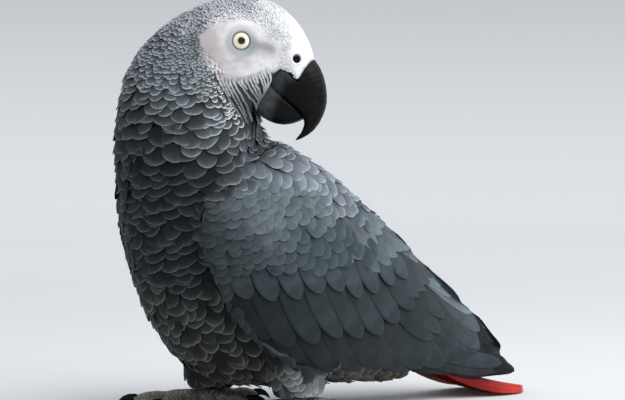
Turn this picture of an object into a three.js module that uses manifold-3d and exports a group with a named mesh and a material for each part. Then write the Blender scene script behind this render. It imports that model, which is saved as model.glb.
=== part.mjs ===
// A life-size grey parrot, standing on both feet and looking back over its left shoulder.
//
// Units are millimetres, +Z is up and the soles are at Z = 0. The breast faces -Y, the tail points to +Y,
// and the bird's left wing is on the +X side. The finished group is centred over its own footprint.
// The solids reach out to the tips of the feathers. The body is modelled whole and parted by thin cuts.
import * as THREE from "three";
import { LoftGeometry } from "three/addons/geometries/LoftGeometry.js";
import { mergeVertices } from "three/addons/utils/BufferGeometryUtils.js";
import Module from "manifold-3d";

const wasm = await Module();
wasm.setup();

// ---------------------------------------------------------------- driving dimensions
const GAP = 0.3; // clearance between neighbouring pieces
const FACET = 0.07; // facets are merged where the surface moves by no more than this
const HEAD_YAW = THREE.MathUtils.degToRad(46); // where the bill points, from +X towards +Y
const EYE_CENTRE = new THREE.Vector3(21, -15.5, 178); // midway between the two eyes
const EYE_RADIUS = 6;
const EYE_SPREAD = 17.4; // from the head's mid plane to an eyeball's centre
const NOSTRIL_RADIUS = 1.9;
const NOSTRIL_DEPTH = 2.6;
const CLAW_LENGTH = 13;
const PAD_HEIGHT = 5.2; // from the floor to the middle of the foot's pad
const PAD_RADIUS = 7;
const PAD_RISE = 5.6; // half the pad's thickness before the floor cuts it

const COLOURS = {
  crown: 0xb9bbbf,
  neck: 0x5c6063,
  trunk: 0x4a4d4f,
  coverts: 0x59616a,
  remiges: 0x353b41,
  tail: 0xc8221c,
  thigh: 0x8b8d93,
  cere: 0xe4e2e2,
  bill: 0x17181a,
  eye: 0xe6dca6,
  foot: 0x6b6a63,
  claw: 0x1c1b1a,
};

// ---------------------------------------------------------------- solids
// A closed geometry as a manifold-3d solid.
function toSolid(geometry) {
  const bare = new THREE.BufferGeometry().copy(geometry);
  for (const name of ["normal", "uv"]) bare.deleteAttribute(name);
  const merged = mergeVertices(bare, 1e-4);
  return new wasm.Manifold(
    new wasm.Mesh({
      numProp: 3,
      vertProperties: merged.attributes.position.array,
      triVerts: new Uint32Array(merged.index.array),
    }),
  );
}

// A solid skinned over a row of closed sections, whichever way round they wind.
function skin(sections) {
  const centre = (s) => s.reduce((sum, p) => sum.add(p), new THREE.Vector3()).divideScalar(s.length);
  const middle = sections[sections.length >> 1];
  const hub = centre(middle);
  const winding = new THREE.Vector3();
  middle.forEach((p, j) => {
    const q = middle[(j + 1) % middle.length];
    winding.add(new THREE.Vector3().crossVectors(p.clone().sub(hub), q.clone().sub(hub)));
  });
  const axis = centre(sections[sections.length - 1]).sub(centre(sections[0]));
  const ordered = winding.dot(axis) > 0 ? sections : sections.map((s) => [...s].reverse());
  return toSolid(new LoftGeometry(ordered, { capStart: true, capEnd: true }));
}

// The largest single body of a solid, without the slivers that a cut can leave.
function mainBody(solid) {
  return solid.decompose().reduce((best, s) => (s.volume() > best.volume() ? s : best));
}

function toMesh(name, solid, colour, roughness = 0.8) {
  const { vertProperties, triVerts, numProp } = mainBody(solid).simplify(FACET).getMesh();
  const position = new Float32Array((vertProperties.length / numProp) * 3);
  for (let i = 0; i < position.length / 3; i++)
    position.set(vertProperties.subarray(i * numProp, i * numProp + 3), i * 3);
  const geometry = new THREE.BufferGeometry();
  geometry.setAttribute("position", new THREE.BufferAttribute(position, 3));
  geometry.setIndex(new THREE.BufferAttribute(new Uint32Array(triVerts), 1));
  geometry.computeVertexNormals();
  const material = new THREE.MeshStandardMaterial({ color: colour, roughness, metalness: 0 });
  const mesh = new THREE.Mesh(geometry, material);
  mesh.name = name;
  return mesh;
}

// The part of a solid on the side of a plane that its normal points to, half a gap away from it.
function beyond(solid, point, normal) {
  const n = normal.clone().normalize();
  return solid.trimByPlane(n.toArray(), n.dot(point) + GAP / 2);
}

// Smooth samples through a list of vectors, the same number for every list of a loft.
function along(points, steps) {
  const curve = new THREE.CatmullRomCurve3(points, false, "centripetal");
  return Array.from({ length: steps + 1 }, (_, i) => curve.getPoint(i / steps));
}

// One oval section: its top and bottom, its half width as a vector, and how square its shoulders are.
function oval(top, bottom, half, around, square) {
  const mid = top.clone().add(bottom).multiplyScalar(0.5);
  const up = top.clone().sub(mid);
  const soften = (v) => Math.sign(v) * Math.abs(v) ** (2 / square);
  return Array.from({ length: around }, (_, j) => {
    const angle = (j / around) * 2 * Math.PI;
    return mid
      .clone()
      .addScaledVector(up, soften(Math.cos(angle)))
      .addScaledVector(half, soften(Math.sin(angle)));
  });
}

// A body lofted through oval stations {top, bottom, half}. grow makes it larger all round by that much.
function loft(stations, { steps, around, square = 2, grow = 0 }) {
  const longer = (v) => v.clone().setLength(v.length() + grow);
  const tops = along(stations.map((s) => s.top), steps);
  const bottoms = along(stations.map((s) => s.bottom), steps);
  const halves = along(stations.map((s) => s.half), steps);
  const mids = tops.map((t, i) => t.clone().add(bottoms[i]).multiplyScalar(0.5));
  const sections = tops.map((t, i) => {
    const up = longer(t.clone().sub(mids[i]));
    return oval(mids[i].clone().add(up), mids[i].clone().sub(up), longer(halves[i]), around, square);
  });
  for (const [end, next] of [[0, 1], [steps, steps - 1]]) {
    const out = mids[end].clone().sub(mids[next]).setLength(grow);
    sections[end].forEach((p) => p.add(out));
  }
  return skin(sections);
}

// ---------------------------------------------------------------- frames of the body
const UP = new THREE.Vector3(0, 0, 1);
const LOOK = new THREE.Vector3(Math.cos(HEAD_YAW), Math.sin(HEAD_YAW), 0);
const HEAD_LEFT = new THREE.Vector3().crossVectors(UP, LOOK);

// A point given as distances from the point between the eyes: ahead, to the head's left, and up.
function onHead(ahead, left, up) {
  return EYE_CENTRE.clone()
    .addScaledVector(LOOK, ahead)
    .addScaledVector(HEAD_LEFT, left)
    .addScaledVector(UP, up);
}

// A head station: how far ahead and how high its top and bottom are, and its half width.
function headStation([topAhead, topUp, bottomAhead, bottomUp, half]) {
  return {
    top: onHead(topAhead, 0, topUp),
    bottom: onHead(bottomAhead, 0, bottomUp),
    half: HEAD_LEFT.clone().multiplyScalar(half),
  };
}

// A trunk station in the body's mid plane: the back's and the belly's [y, z], and the half width.
function trunkStation([backY, backZ, bellyY, bellyZ, half]) {
  return {
    top: new THREE.Vector3(0, backY, backZ),
    bottom: new THREE.Vector3(0, bellyY, bellyZ),
    half: new THREE.Vector3(half, 0, 0),
  };
}

// A level neck station: its centre, its half length towards where the bird looks, and its half width.
function neckStation([x, y, z, ahead, half]) {
  const centre = new THREE.Vector3(x, y, z);
  return {
    top: centre.clone().addScaledVector(LOOK, ahead),
    bottom: centre.clone().addScaledVector(LOOK, -ahead),
    half: HEAD_LEFT.clone().multiplyScalar(half),
  };
}

// ---------------------------------------------------------------- trunk, neck and head
const TRUNK = [
  [1.5, 138.5, -66, 141, 24],
  [8, 134.3, -70, 135, 28],
  [18, 128, -71, 123, 32.5],
  [31.5, 121, -72, 108, 37.5],
  [46, 111, -66.5, 80, 41.5],
  [57, 100.5, -59, 54, 42.5],
  [67.5, 90, -44.8, 31, 40.5],
  [77, 80, -26, 17, 37],
  [86, 69.5, 0, 12, 32],
  [94, 58.5, 28, 11.5, 25],
  [100, 47, 56, 10.5, 18.5],
  [104.5, 35, 80, 9.5, 13],
].map(trunkStation);

const NECK = [
  [13, -27, 193, 17, 12],
  [9.5, -30.5, 183, 27, 20],
  [5.1, -34.9, 167, 33.6, 26.3],
  [2.1, -36.9, 151, 34.6, 30.4],
  [1.1, -36.4, 135, 36.6, 33.3],
  [0.5, -34, 118, 38.5, 36],
  [0, -28, 98, 40, 36],
].map(neckStation);

const HEAD = [
  [-46, 2, -42, -22, 12],
  [-38, 10.5, -35, -31, 19],
  [-25, 17.8, -22, -34, 22.5],
  [-11, 21.9, -10, -35.5, 23.5],
  [3, 22, 1, -35, 22],
  [13.5, 18.2, 6, -33, 17.5],
  [21.5, 12, 9.5, -29.5, 13.5],
  [27.2, 4, 13, -24, 12],
  [30.8, -4.4, 15.5, -20, 10.9],
].map(headStation);

function wholeBody(grow = 0) {
  return loft(TRUNK, { steps: 17, around: 24, square: 2.15, grow })
    .add(loft(NECK, { steps: 8, around: 22, grow }))
    .add(loft(HEAD, { steps: 12, around: 22, square: 2.2, grow }));
}

const NAPE = new THREE.Vector3(3, -36, 154);
const NAPE_NORMAL = LOOK.clone().multiplyScalar(0.55).addScaledVector(UP, 0.83);
const NECK_BASE = new THREE.Vector3(0, -27, 121);
const NECK_BASE_NORMAL = new THREE.Vector3(0, -0.3, 0.95);
const CERE_EDGE = onHead(20.5, 0, -4);
const CERE_NORMAL = LOOK.clone().multiplyScalar(0.88).addScaledVector(UP, 0.3);

// ---------------------------------------------------------------- bill and eyes
const UPPER_BILL = [
  [24.5, 0.5, 6, -18, 9.6],
  [31.2, -7, 12, -25.2, 10.4],
  [35.2, -13.5, 17.5, -29.6, 9.8],
  [37.2, -20.8, 22.5, -33, 8.2],
  [37.5, -28, 25.8, -35.4, 6.2],
  [35.9, -33.8, 26.8, -37.2, 4.6],
  [32.6, -39.6, 26.2, -39.9, 3.2],
  [28, -43.7, 25, -42.4, 1.9],
  [22.4, -46.3, 22.3, -45.3, 0.5],
].map(headStation);

const LOWER_BILL = [
  [9.5, -14, 0.5, -29, 8.4],
  [15.5, -18, 7, -35.2, 9],
  [21, -23, 14, -38.2, 8.4],
  [25, -28.5, 21, -38, 6.8],
  [27.4, -33.4, 26, -36, 4.1],
].map(headStation);

const upperBill = (grow = 0) => loft(UPPER_BILL, { steps: 14, around: 14, square: 2.1, grow });
const lowerBill = (grow = 0) => loft(LOWER_BILL, { steps: 8, around: 14, square: 2.4, grow });

// Cuts seen from the side: each runs through two places, [ahead, up], and keeps what is on its upper side or,
// for a steep one, on the side towards the eye.
const CERE_FRONT = [[31.6, -7.2], [25.4, -18.7]];
const CERE_FOOT = [[25.4, -18.7], [18.6, -12.1]];
const LORE_FRONT = [[18.6, -12.1], [12.2, -20.5]];
const CHEEK_FRONT = [[12.2, -20.5], [7.5, -32.5]];
const CERE_SWELL = 0.6; // how far the cere's lower lobe stands out from the bill it lies over

// The part of a solid on the kept side of such a cut, or on its other side, past a gap.
function cutAcross(solid, [[a, b], [c, d]], other = false, gap = GAP / 2) {
  const normal = LOOK.clone().multiplyScalar(d - b).addScaledVector(UP, a - c).normalize();
  if (other) normal.negate();
  return solid.trimByPlane(normal.toArray(), normal.dot(onHead(a, 0, b)) + gap);
}

// The bill's upper half without what the cere covers.
function bareUpperBill(grow = 0) {
  const whole = upperBill(grow);
  return cutAcross(whole, CERE_FRONT, true, GAP / 2 - grow)
    .add(cutAcross(whole, CERE_FOOT, true, GAP / 2 - grow));
}

const HEAD_ROOM = 160; // the side of a cube about the eyes that holds the whole head

// The room in front of the lore and the cheek and under the cere, where only horn shows.
function gapeRoom() {
  const { x, y, z } = EYE_CENTRE;
  const block = toSolid(new THREE.BoxGeometry(HEAD_ROOM, HEAD_ROOM, HEAD_ROOM).translate(x, y, z));
  return [CERE_FOOT, LORE_FRONT, CHEEK_FRONT].reduce((left, cut) => cutAcross(left, cut, true, 0), block);
}

function eyeBall(side, grow = 0) {
  const ball = new THREE.SphereGeometry(EYE_RADIUS + grow, 14, 9);
  const centre = onHead(0, side * EYE_SPREAD, 0);
  return toSolid(ball.translate(centre.x, centre.y, centre.z));
}

// The nostril on the head's left: where it opens and which way it faces, ahead, to the left and up.
const NOSTRIL_PLACE = [25.6, 10.4, -7.8];
const NOSTRIL_FACING = [6, 12, 3];
const mirrorLeft = ([ahead, left, up], side) => [ahead, side * left, up];

function nostril(side) {
  const hole = new THREE.CylinderGeometry(NOSTRIL_RADIUS, NOSTRIL_RADIUS, 2 * NOSTRIL_DEPTH, 12);
  const direction = onHead(...mirrorLeft(NOSTRIL_FACING, side)).sub(EYE_CENTRE).normalize();
  hole.applyQuaternion(new THREE.Quaternion().setFromUnitVectors(new THREE.Vector3(0, 1, 0), direction));
  const place = onHead(...mirrorLeft(NOSTRIL_PLACE, side));
  return toSolid(hole.translate(place.x, place.y, place.z));
}

// ---------------------------------------------------------------- folded wings
// Stations of the left wing from its bend to its tip: upper edge, lower edge, outward bulge and thickness.
const WING = [
  [[37, -48.5, 108], [39.5, -53.5, 91], 3, 5],
  [[38, -40, 113.5], [42.5, -46, 68], 5, 14],
  [[38, -24, 116], [43, -34, 47], 7, 18],
  [[36.5, 0, 116], [41.5, -15, 31], 9, 20],
  [[29, 26, 112], [39, 8, 20.5], 11, 20],
  [[18.5, 52, 102.5], [34, 35, 17.5], 11.5, 16],
  [[9.5, 78, 86], [27, 64, 15], 10, 12],
  [[4, 102, 67.3], [20, 94, 11.5], 8, 8],
  [[2.5, 122.5, 49.5], [14, 120, 8], 5, 5],
  [[2, 135.5, 41.5], [10.5, 133, 7.2], 4, 4],
  [[2, 144, 29.5], [8, 145, 7.2], 2.8, 3],
  [[2, 152, 18.5], [6, 153, 7.2], 1.8, 2.4],
  [[2, 158, 13.5], [5, 158.5, 8.2], 1, 2],
];
const WING_LEAD = { left: 0, right: 2 }; // how far forward each folded wing is carried
const WING_EDGE = 1.6; // thickness along both edges

function foldedWing(name, grow = 0) {
  const steps = 20;
  const across = 8; // points from the upper edge to the lower one, on each face
  const side = name === "left" ? 1 : -1;
  const mirrored = ([x, y, z]) => new THREE.Vector3(side * x, y - WING_LEAD[name], z);
  const uppers = along(WING.map((s) => mirrored(s[0])), steps);
  const lowers = along(WING.map((s) => mirrored(s[1])), steps);
  const shapes = along(WING.map((s) => new THREE.Vector3(s[2], s[3], 0)), steps);
  const mids = uppers.map((u, i) => u.clone().add(lowers[i]).multiplyScalar(0.5));
  const sections = uppers.map((upper, i) => {
    const down = lowers[i].clone().sub(upper);
    const rear = mids[Math.min(i + 1, steps)].clone().sub(mids[Math.max(i - 1, 0)]);
    const out = new THREE.Vector3().crossVectors(down, rear).normalize().multiplyScalar(side);
    const edge = down.clone().setLength(grow);
    const top = upper.clone().sub(edge);
    const bottom = lowers[i].clone().add(edge);
    const face = (j, inward) => {
      const t = j / (across - 1);
      const swell = Math.sin(Math.PI * t) ** 0.8;
      const depth = inward ? WING_EDGE + (shapes[i].y - WING_EDGE) * swell + grow : -grow;
      return top.clone().lerp(bottom, t).addScaledVector(out, shapes[i].x * swell - depth);
    };
    const outer = Array.from({ length: across }, (_, j) => face(j, false));
    const inner = Array.from({ length: across }, (_, j) => face(across - 1 - j, true));
    return [...outer, ...inner];
  });
  return skin(sections);
}

// Cuts that part a folded wing: coverts in front, then secondaries above primaries.
const COVERT_EDGE = new THREE.Vector3(0, 52, 60);
const COVERT_NORMAL = new THREE.Vector3(0, 0.86, -0.5);
const PRIMARY_EDGE = new THREE.Vector3(0, 90, 23);
const PRIMARY_NORMAL = new THREE.Vector3(0, 0.05, -1);

// ---------------------------------------------------------------- tail, legs and feet
const TAIL = [
  [[0, 78, 38], [0, 76, 20], 12],
  [[0, 98, 25], [0, 96, 8], 16.5],
  [[0, 116, 15], [0, 114, 2.5], 19],
  [[0, 133, 8.5], [0, 131, 0], 20],
  [[0, 150, 4.6], [0, 148, -0.4], 20.5],
  [[0, 164, 2.4], [0, 164, -0.4], 18],
].map(([top, bottom, half]) => ({
  top: new THREE.Vector3(...top),
  bottom: new THREE.Vector3(...bottom),
  half: new THREE.Vector3(half, 0, 0),
}));

// Each leg: where its ankle stands, and which way the foot points, in degrees from -Y towards +X.
const LEGS = {
  left: { side: 1, ankle: new THREE.Vector3(26, 6, 9), turn: 12 },
  right: { side: -1, ankle: new THREE.Vector3(-26, -13, 9), turn: -16 },
};

// Toes by their heading from the foot's own direction, in degrees towards the other foot.
const TOES = [
  { name: "inner_front", heading: 21, length: 27 },
  { name: "outer_front", heading: -17, length: 36 },
  { name: "outer_back", heading: -154, length: 32 },
  { name: "inner_back", heading: 158, length: 21 },
];

// Along a toe: the share of its length, the height of its middle, and its radius with the pads' swell.
const TOE_SHAPE = [
  [0, 5.6, 5],
  [0.2, 4.7, 4.1],
  [0.38, 4.3, 4.7],
  [0.56, 3.8, 3.9],
  [0.74, 3.6, 4.3],
  [0.9, 3.1, 3.5],
  [1, 2.8, 2.4],
];

// Down the thigh: its distance from the mid plane as a share of the ankle's, how far behind the ankle it is,
// its height, and its half depth and half width.
const THIGH = [
  [0.72, 10, 54, 22, 15],
  [0.84, 6, 34, 20, 15],
  [0.95, 3.5, 19.5, 17, 12.5],
  [1, 2, 9.5, 12.5, 9.5],
];

function thigh({ ankle }, grow = 0) {
  const stations = THIGH.map(([share, behind, z, deep, half]) => ({
    top: new THREE.Vector3(ankle.x * share, ankle.y + behind + deep, z),
    bottom: new THREE.Vector3(ankle.x * share, ankle.y + behind - deep, z),
    half: new THREE.Vector3(half, 0, 0),
  }));
  return loft(stations, { steps: 8, around: 18, grow });
}

// A direction on the floor, in degrees from -Y, towards +X on the left foot and -X on the right.
function floorHeading(leg, degrees) {
  const angle = THREE.MathUtils.degToRad(leg.turn - leg.side * degrees);
  return new THREE.Vector3(Math.sin(angle), -Math.cos(angle), 0);
}

function toeAxis(leg, toe) {
  const heading = floorHeading(leg, toe.heading);
  const at = (share, z) => leg.ankle.clone().addScaledVector(heading, toe.length * share).setZ(z);
  return { heading, points: TOE_SHAPE.map(([share, z]) => at(share, z)) };
}

function toeSolid(leg, toe, grow = 0) {
  const { heading, points } = toeAxis(leg, toe);
  const side = new THREE.Vector3().crossVectors(heading, UP);
  const stations = points.map((p, i) => {
    const radius = TOE_SHAPE[i][2];
    return {
      top: p.clone().addScaledVector(UP, radius),
      bottom: p.clone().addScaledVector(UP, -radius),
      half: side.clone().multiplyScalar(radius),
    };
  });
  return loft(stations, { steps: 8, around: 7, grow });
}

// Along a claw: the share of its length, its rise above the toe's middle, and its radius.
const CLAW_SHAPE = [
  [0, 0.6, 2.3],
  [0.42, 1.6, 2],
  [0.78, 0.2, 1.4],
  [1, -2.6, 0.4],
];
const CLAW_ROOT = 5; // which station of the toe the claw grows from
const CLAW_FLATNESS = 0.8; // its width as a share of its height

function clawSolid(leg, toe) {
  const { heading, points } = toeAxis(leg, toe);
  const side = new THREE.Vector3().crossVectors(heading, UP);
  const stations = CLAW_SHAPE.map(([share, rise, radius]) => {
    const p = points[CLAW_ROOT].clone().addScaledVector(heading, share * CLAW_LENGTH);
    p.addScaledVector(UP, rise);
    return {
      top: p.clone().addScaledVector(UP, radius),
      bottom: p.clone().addScaledVector(UP, -radius),
      half: side.clone().multiplyScalar(radius * CLAW_FLATNESS),
    };
  });
  return loft(stations, { steps: 5, around: 7 });
}

// Down the scaly shank: its height, how far behind the ankle it is, and its radius.
const TARSUS = [
  [26, 6, 5],
  [17, 4, 4.6],
  [8, 0, 5.4],
  [4, 0, 5.6],
];

function tarsus(leg, grow = 0) {
  const stations = TARSUS.map(([z, behind, radius]) => {
    const centre = leg.ankle.clone().addScaledVector(floorHeading(leg, 0), -behind).setZ(z);
    return {
      top: centre.clone().addScaledVector(floorHeading(leg, 0), radius),
      bottom: centre.clone().addScaledVector(floorHeading(leg, 0), -radius),
      half: floorHeading(leg, 90).multiplyScalar(radius),
    };
  });
  return loft(stations, { steps: 6, around: 14, grow });
}

// Everything of a foot below this level is cut away, which leaves the soles flat.
function aboveFloor(solid) {
  return solid.trimByPlane([0, 0, 1], 0);
}

// ---------------------------------------------------------------- the bird
const bird = new THREE.Group();
const body = wholeBody();
const bodyRoom = wholeBody(GAP);
const billRoom = bareUpperBill(GAP).add(lowerBill(GAP));

const cereRoll = cutAcross(cutAcross(upperBill(CERE_SWELL), CERE_FRONT), CERE_FOOT);
const aboveTrunk = beyond(body, NECK_BASE, NECK_BASE_NORMAL)
  .subtract(gapeRoom())
  .add(cereRoll)
  .subtract(billRoom);
const headAndCere = beyond(aboveTrunk, NAPE, NAPE_NORMAL)
  .subtract(eyeBall(1, GAP))
  .subtract(eyeBall(-1, GAP));
bird.add(
  toMesh("head", beyond(headAndCere, CERE_EDGE, CERE_NORMAL.clone().negate()), COLOURS.crown),
  toMesh(
    "cere",
    beyond(headAndCere, CERE_EDGE, CERE_NORMAL).subtract(nostril(1)).subtract(nostril(-1)),
    COLOURS.cere,
  ),
  toMesh("neck", beyond(aboveTrunk, NAPE, NAPE_NORMAL.clone().negate()), COLOURS.neck),
  toMesh("trunk", beyond(body, NECK_BASE, NECK_BASE_NORMAL.clone().negate()), COLOURS.trunk),
  toMesh("bill_upper", bareUpperBill(), COLOURS.bill, 0.3),
  toMesh("bill_lower", lowerBill().subtract(upperBill(GAP)), COLOURS.bill, 0.4),
);

for (const [name, side] of [["left", 1], ["right", -1]]) {
  bird.add(toMesh("eye_" + name, eyeBall(side), COLOURS.eye, 0.1));
  const wing = mainBody(foldedWing(name).subtract(bodyRoom));
  const flight = beyond(wing, COVERT_EDGE, COVERT_NORMAL);
  const above = PRIMARY_NORMAL.clone().negate();
  bird.add(
    toMesh(
      "wing_" + name + "_coverts",
      beyond(wing, COVERT_EDGE, COVERT_NORMAL.clone().negate()),
      COLOURS.coverts,
    ),
    toMesh("wing_" + name + "_secondaries", beyond(flight, PRIMARY_EDGE, above), COLOURS.remiges),
    toMesh("wing_" + name + "_primaries", beyond(flight, PRIMARY_EDGE, PRIMARY_NORMAL), COLOURS.remiges),
  );
}

const wingRoom = foldedWing("left", GAP).add(foldedWing("right", GAP));
const tail = aboveFloor(loft(TAIL, { steps: 11, around: 16, square: 2.6 }));
bird.add(toMesh("tail", tail.subtract(bodyRoom).subtract(wingRoom), COLOURS.tail));

for (const [name, leg] of Object.entries(LEGS)) {
  const toes = TOES.map((toe) => toeSolid(leg, toe));
  const pad = new THREE.SphereGeometry(1, 14, 8).scale(PAD_RADIUS, PAD_RADIUS, PAD_RISE);
  const { x, y } = leg.ankle;
  const foot = toes
    .reduce((sum, toe) => sum.add(toe), toSolid(pad.translate(x, y, PAD_HEIGHT)))
    .subtract(tarsus(leg, GAP));
  const claws = TOES.map((toe) => clawSolid(leg, toe));
  const clawRoom = TOES.map((toe) => toeSolid(leg, toe, GAP)).reduce((sum, toe) => sum.add(toe));
  bird.add(
    toMesh("thigh_" + name, thigh(leg).subtract(bodyRoom).subtract(wingRoom), COLOURS.thigh),
    toMesh("tarsus_" + name, tarsus(leg).subtract(thigh(leg, GAP)), COLOURS.foot),
    toMesh("foot_" + name, aboveFloor(foot), COLOURS.foot),
  );
  TOES.forEach((toe, i) => {
    const claw = aboveFloor(claws[i].subtract(clawRoom));
    bird.add(toMesh("claw_" + name + "_" + toe.name, claw, COLOURS.claw, 0.35));
  });
}

// Stand the bird centred over the origin.
const box = new THREE.Box3().setFromObject(bird);
bird.position.set(-(box.min.x + box.max.x) / 2, -(box.min.y + box.max.y) / 2, -box.min.z);

export default bird;
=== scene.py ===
"""A life-size grey parrot: one skin, its coat of feathers, and its horn, eyes and scaled feet.

Lengths in the tables are millimetres from the bird's own origin, on the floor between its feet: +X is the
bird's left, -Y its breast, +Y its tail and +Z up. On the head they run ahead, to the head's left and up
from the point between the eyes.
"""

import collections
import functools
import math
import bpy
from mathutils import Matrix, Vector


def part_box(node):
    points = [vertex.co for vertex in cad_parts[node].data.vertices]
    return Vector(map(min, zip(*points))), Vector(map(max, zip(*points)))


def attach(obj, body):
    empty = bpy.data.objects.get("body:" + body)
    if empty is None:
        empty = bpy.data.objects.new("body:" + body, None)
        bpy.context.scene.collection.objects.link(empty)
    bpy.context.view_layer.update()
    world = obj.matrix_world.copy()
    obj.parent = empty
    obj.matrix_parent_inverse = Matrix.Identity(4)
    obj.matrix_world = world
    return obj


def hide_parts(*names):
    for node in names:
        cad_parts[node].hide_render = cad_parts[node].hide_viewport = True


bl_info = {
    "name": "Grey Parrot",
    "version": (1, 0, 0),
    "blender": (4, 5, 0),
    "location": "3D View > Sidebar > Parrot",
    "description": "Builds a life-size grey parrot with skin, feathers, horn and scaled feet",
    "category": "Add Mesh",
}

import bmesh
import bpy
import numpy as np
from mathutils import Matrix, Vector
from mathutils.bvhtree import BVHTree
from mathutils.kdtree import KDTree

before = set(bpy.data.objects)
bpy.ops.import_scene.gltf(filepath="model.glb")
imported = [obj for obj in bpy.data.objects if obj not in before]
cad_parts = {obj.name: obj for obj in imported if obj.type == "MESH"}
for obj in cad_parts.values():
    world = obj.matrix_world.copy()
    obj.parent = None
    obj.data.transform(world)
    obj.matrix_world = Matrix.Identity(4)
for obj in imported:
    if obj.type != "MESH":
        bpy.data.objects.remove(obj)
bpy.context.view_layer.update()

MM = 0.001
SIDES = {"left": 1, "right": -1}
TOES = ("inner_front", "outer_front", "outer_back", "inner_back")
WING_FLESH = ["wing_left_coverts", "wing_right_coverts"]
TRUNK_FLESH = ["head", "cere", "neck", "trunk", "thigh_left", "thigh_right"]
FLESH = TRUNK_FLESH + WING_FLESH  # the nodes that the skin stands for
FAR_OFF = 1e9  # further than any two places of the bird are apart
BATCH = 6000  # how many points are compared with the guides at a time
WING_DRAWS, TAIL_DRAWS, FOOT_DRAWS, STREAK_DRAWS = 50, 60, 70, 90  # what each piece adds to the seed


# ---------------------------------------------------------------- places
def unit(vectors):
    """Vectors of length one."""
    vectors = np.asarray(vectors, float)
    size = np.linalg.norm(vectors, axis=-1, keepdims=True)
    return vectors / np.maximum(size, 1e-9)


def middle(node):
    """The middle of a node's box, in metres."""
    low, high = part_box(node)
    return np.array((low + high) / 2)


EYES = {name: middle("eye_" + name) for name in SIDES}
BETWEEN_EYES = np.array((21.0, -15.5, 178.0))  # from the bird's origin
ORIGIN = (EYES["left"] + EYES["right"]) / 2 - BETWEEN_EYES * MM
UP = np.array((0.0, 0.0, 1.0))
HEAD_LEFT = unit(EYES["left"] - EYES["right"])
LOOK = np.cross(HEAD_LEFT, UP)
HEAD_AXES = np.array((LOOK, HEAD_LEFT, UP))
EYE_SPREAD = np.linalg.norm(EYES["left"] - EYES["right"]) / 2 / MM
EYE_RADIUS = (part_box("eye_left")[1].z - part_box("eye_left")[0].z) / 2 / MM
EYE_TURN = math.radians(22)  # how far the eyes look ahead of straight out
WING_CARRY = {"left": 0.0, "right": 2.0}  # how far forward each folded wing is carried


def to_world(points):
    """The scene's metres from the bird's millimetres."""
    return np.asarray(points, float) * MM + ORIGIN


def to_bird(points):
    """The bird's millimetres from the scene's metres."""
    return (np.asarray(points, float) - ORIGIN) / MM


def on_head(points):
    """The bird's places of points given ahead, to the left and up from between the eyes."""
    return BETWEEN_EYES + np.asarray(points, float) @ HEAD_AXES


def head_axes(points):
    """How far points are ahead, to the left and up from between the eyes."""
    return (np.asarray(points, float) - BETWEEN_EYES) @ HEAD_AXES.T


def eye_axis(side):
    """The way that the eye of a side looks."""
    return HEAD_LEFT * side * math.cos(EYE_TURN) + LOOK * math.sin(EYE_TURN)


def from_eye(points, side):
    """How far points lie along an eye's axis from its middle, and how far from the axis, in mm."""
    offset = np.asarray(points, float) - on_head((0, side * EYE_SPREAD, 0))
    depth = offset @ eye_axis(side)
    return depth, np.linalg.norm(offset - depth[:, None] * eye_axis(side), axis=1)


def smooth(low, high, value):
    """0 below low, 1 above high, and an even curve between."""
    share = np.clip((np.asarray(value, float) - low) / (high - low), 0, 1)
    return share * share * (3 - 2 * share)


def bump(value, centre, width):
    """A hill of height one: near 1 at its centre, and almost 0 two widths away."""
    return np.exp(-(((np.asarray(value, float) - centre) / width) ** 2))


def along(points, shares):
    """Places at shares of the length of a smooth line through points."""
    points = np.asarray(points, float)
    steps = np.linalg.norm(np.diff(points, axis=0), axis=1)
    knots = np.concatenate(([0], np.cumsum(steps))) / steps.sum()
    return np.stack([np.interp(shares, knots, column) for column in points.T], axis=-1)


# ---------------------------------------------------------------- colours
def tone(code):
    """A linear colour from a hexadecimal one."""
    channels = [int(code[i : i + 2], 16) / 255 for i in (0, 2, 4)]
    return tuple(c / 12.92 if c <= 0.04045 else ((c + 0.055) / 1.055) ** 2.4 for c in channels)


def tinted(colours, tint, shares):
    """Colours drawn towards a tint, each by its share."""
    return colours + (np.array(tint) - colours) * shares[:, None]


def paint(label, about, code):
    """A colour property."""
    return bpy.props.FloatVectorProperty(
        name=label, description=about, default=tone(code), size=3, min=0, max=1, subtype="COLOR"
    )


def length(label, about, size):
    """A length property, given in millimetres and kept in metres."""
    return bpy.props.FloatProperty(
        name=label, description=about, default=size * MM, min=0, precision=5, subtype="DISTANCE",
        unit="LENGTH",
    )


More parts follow.
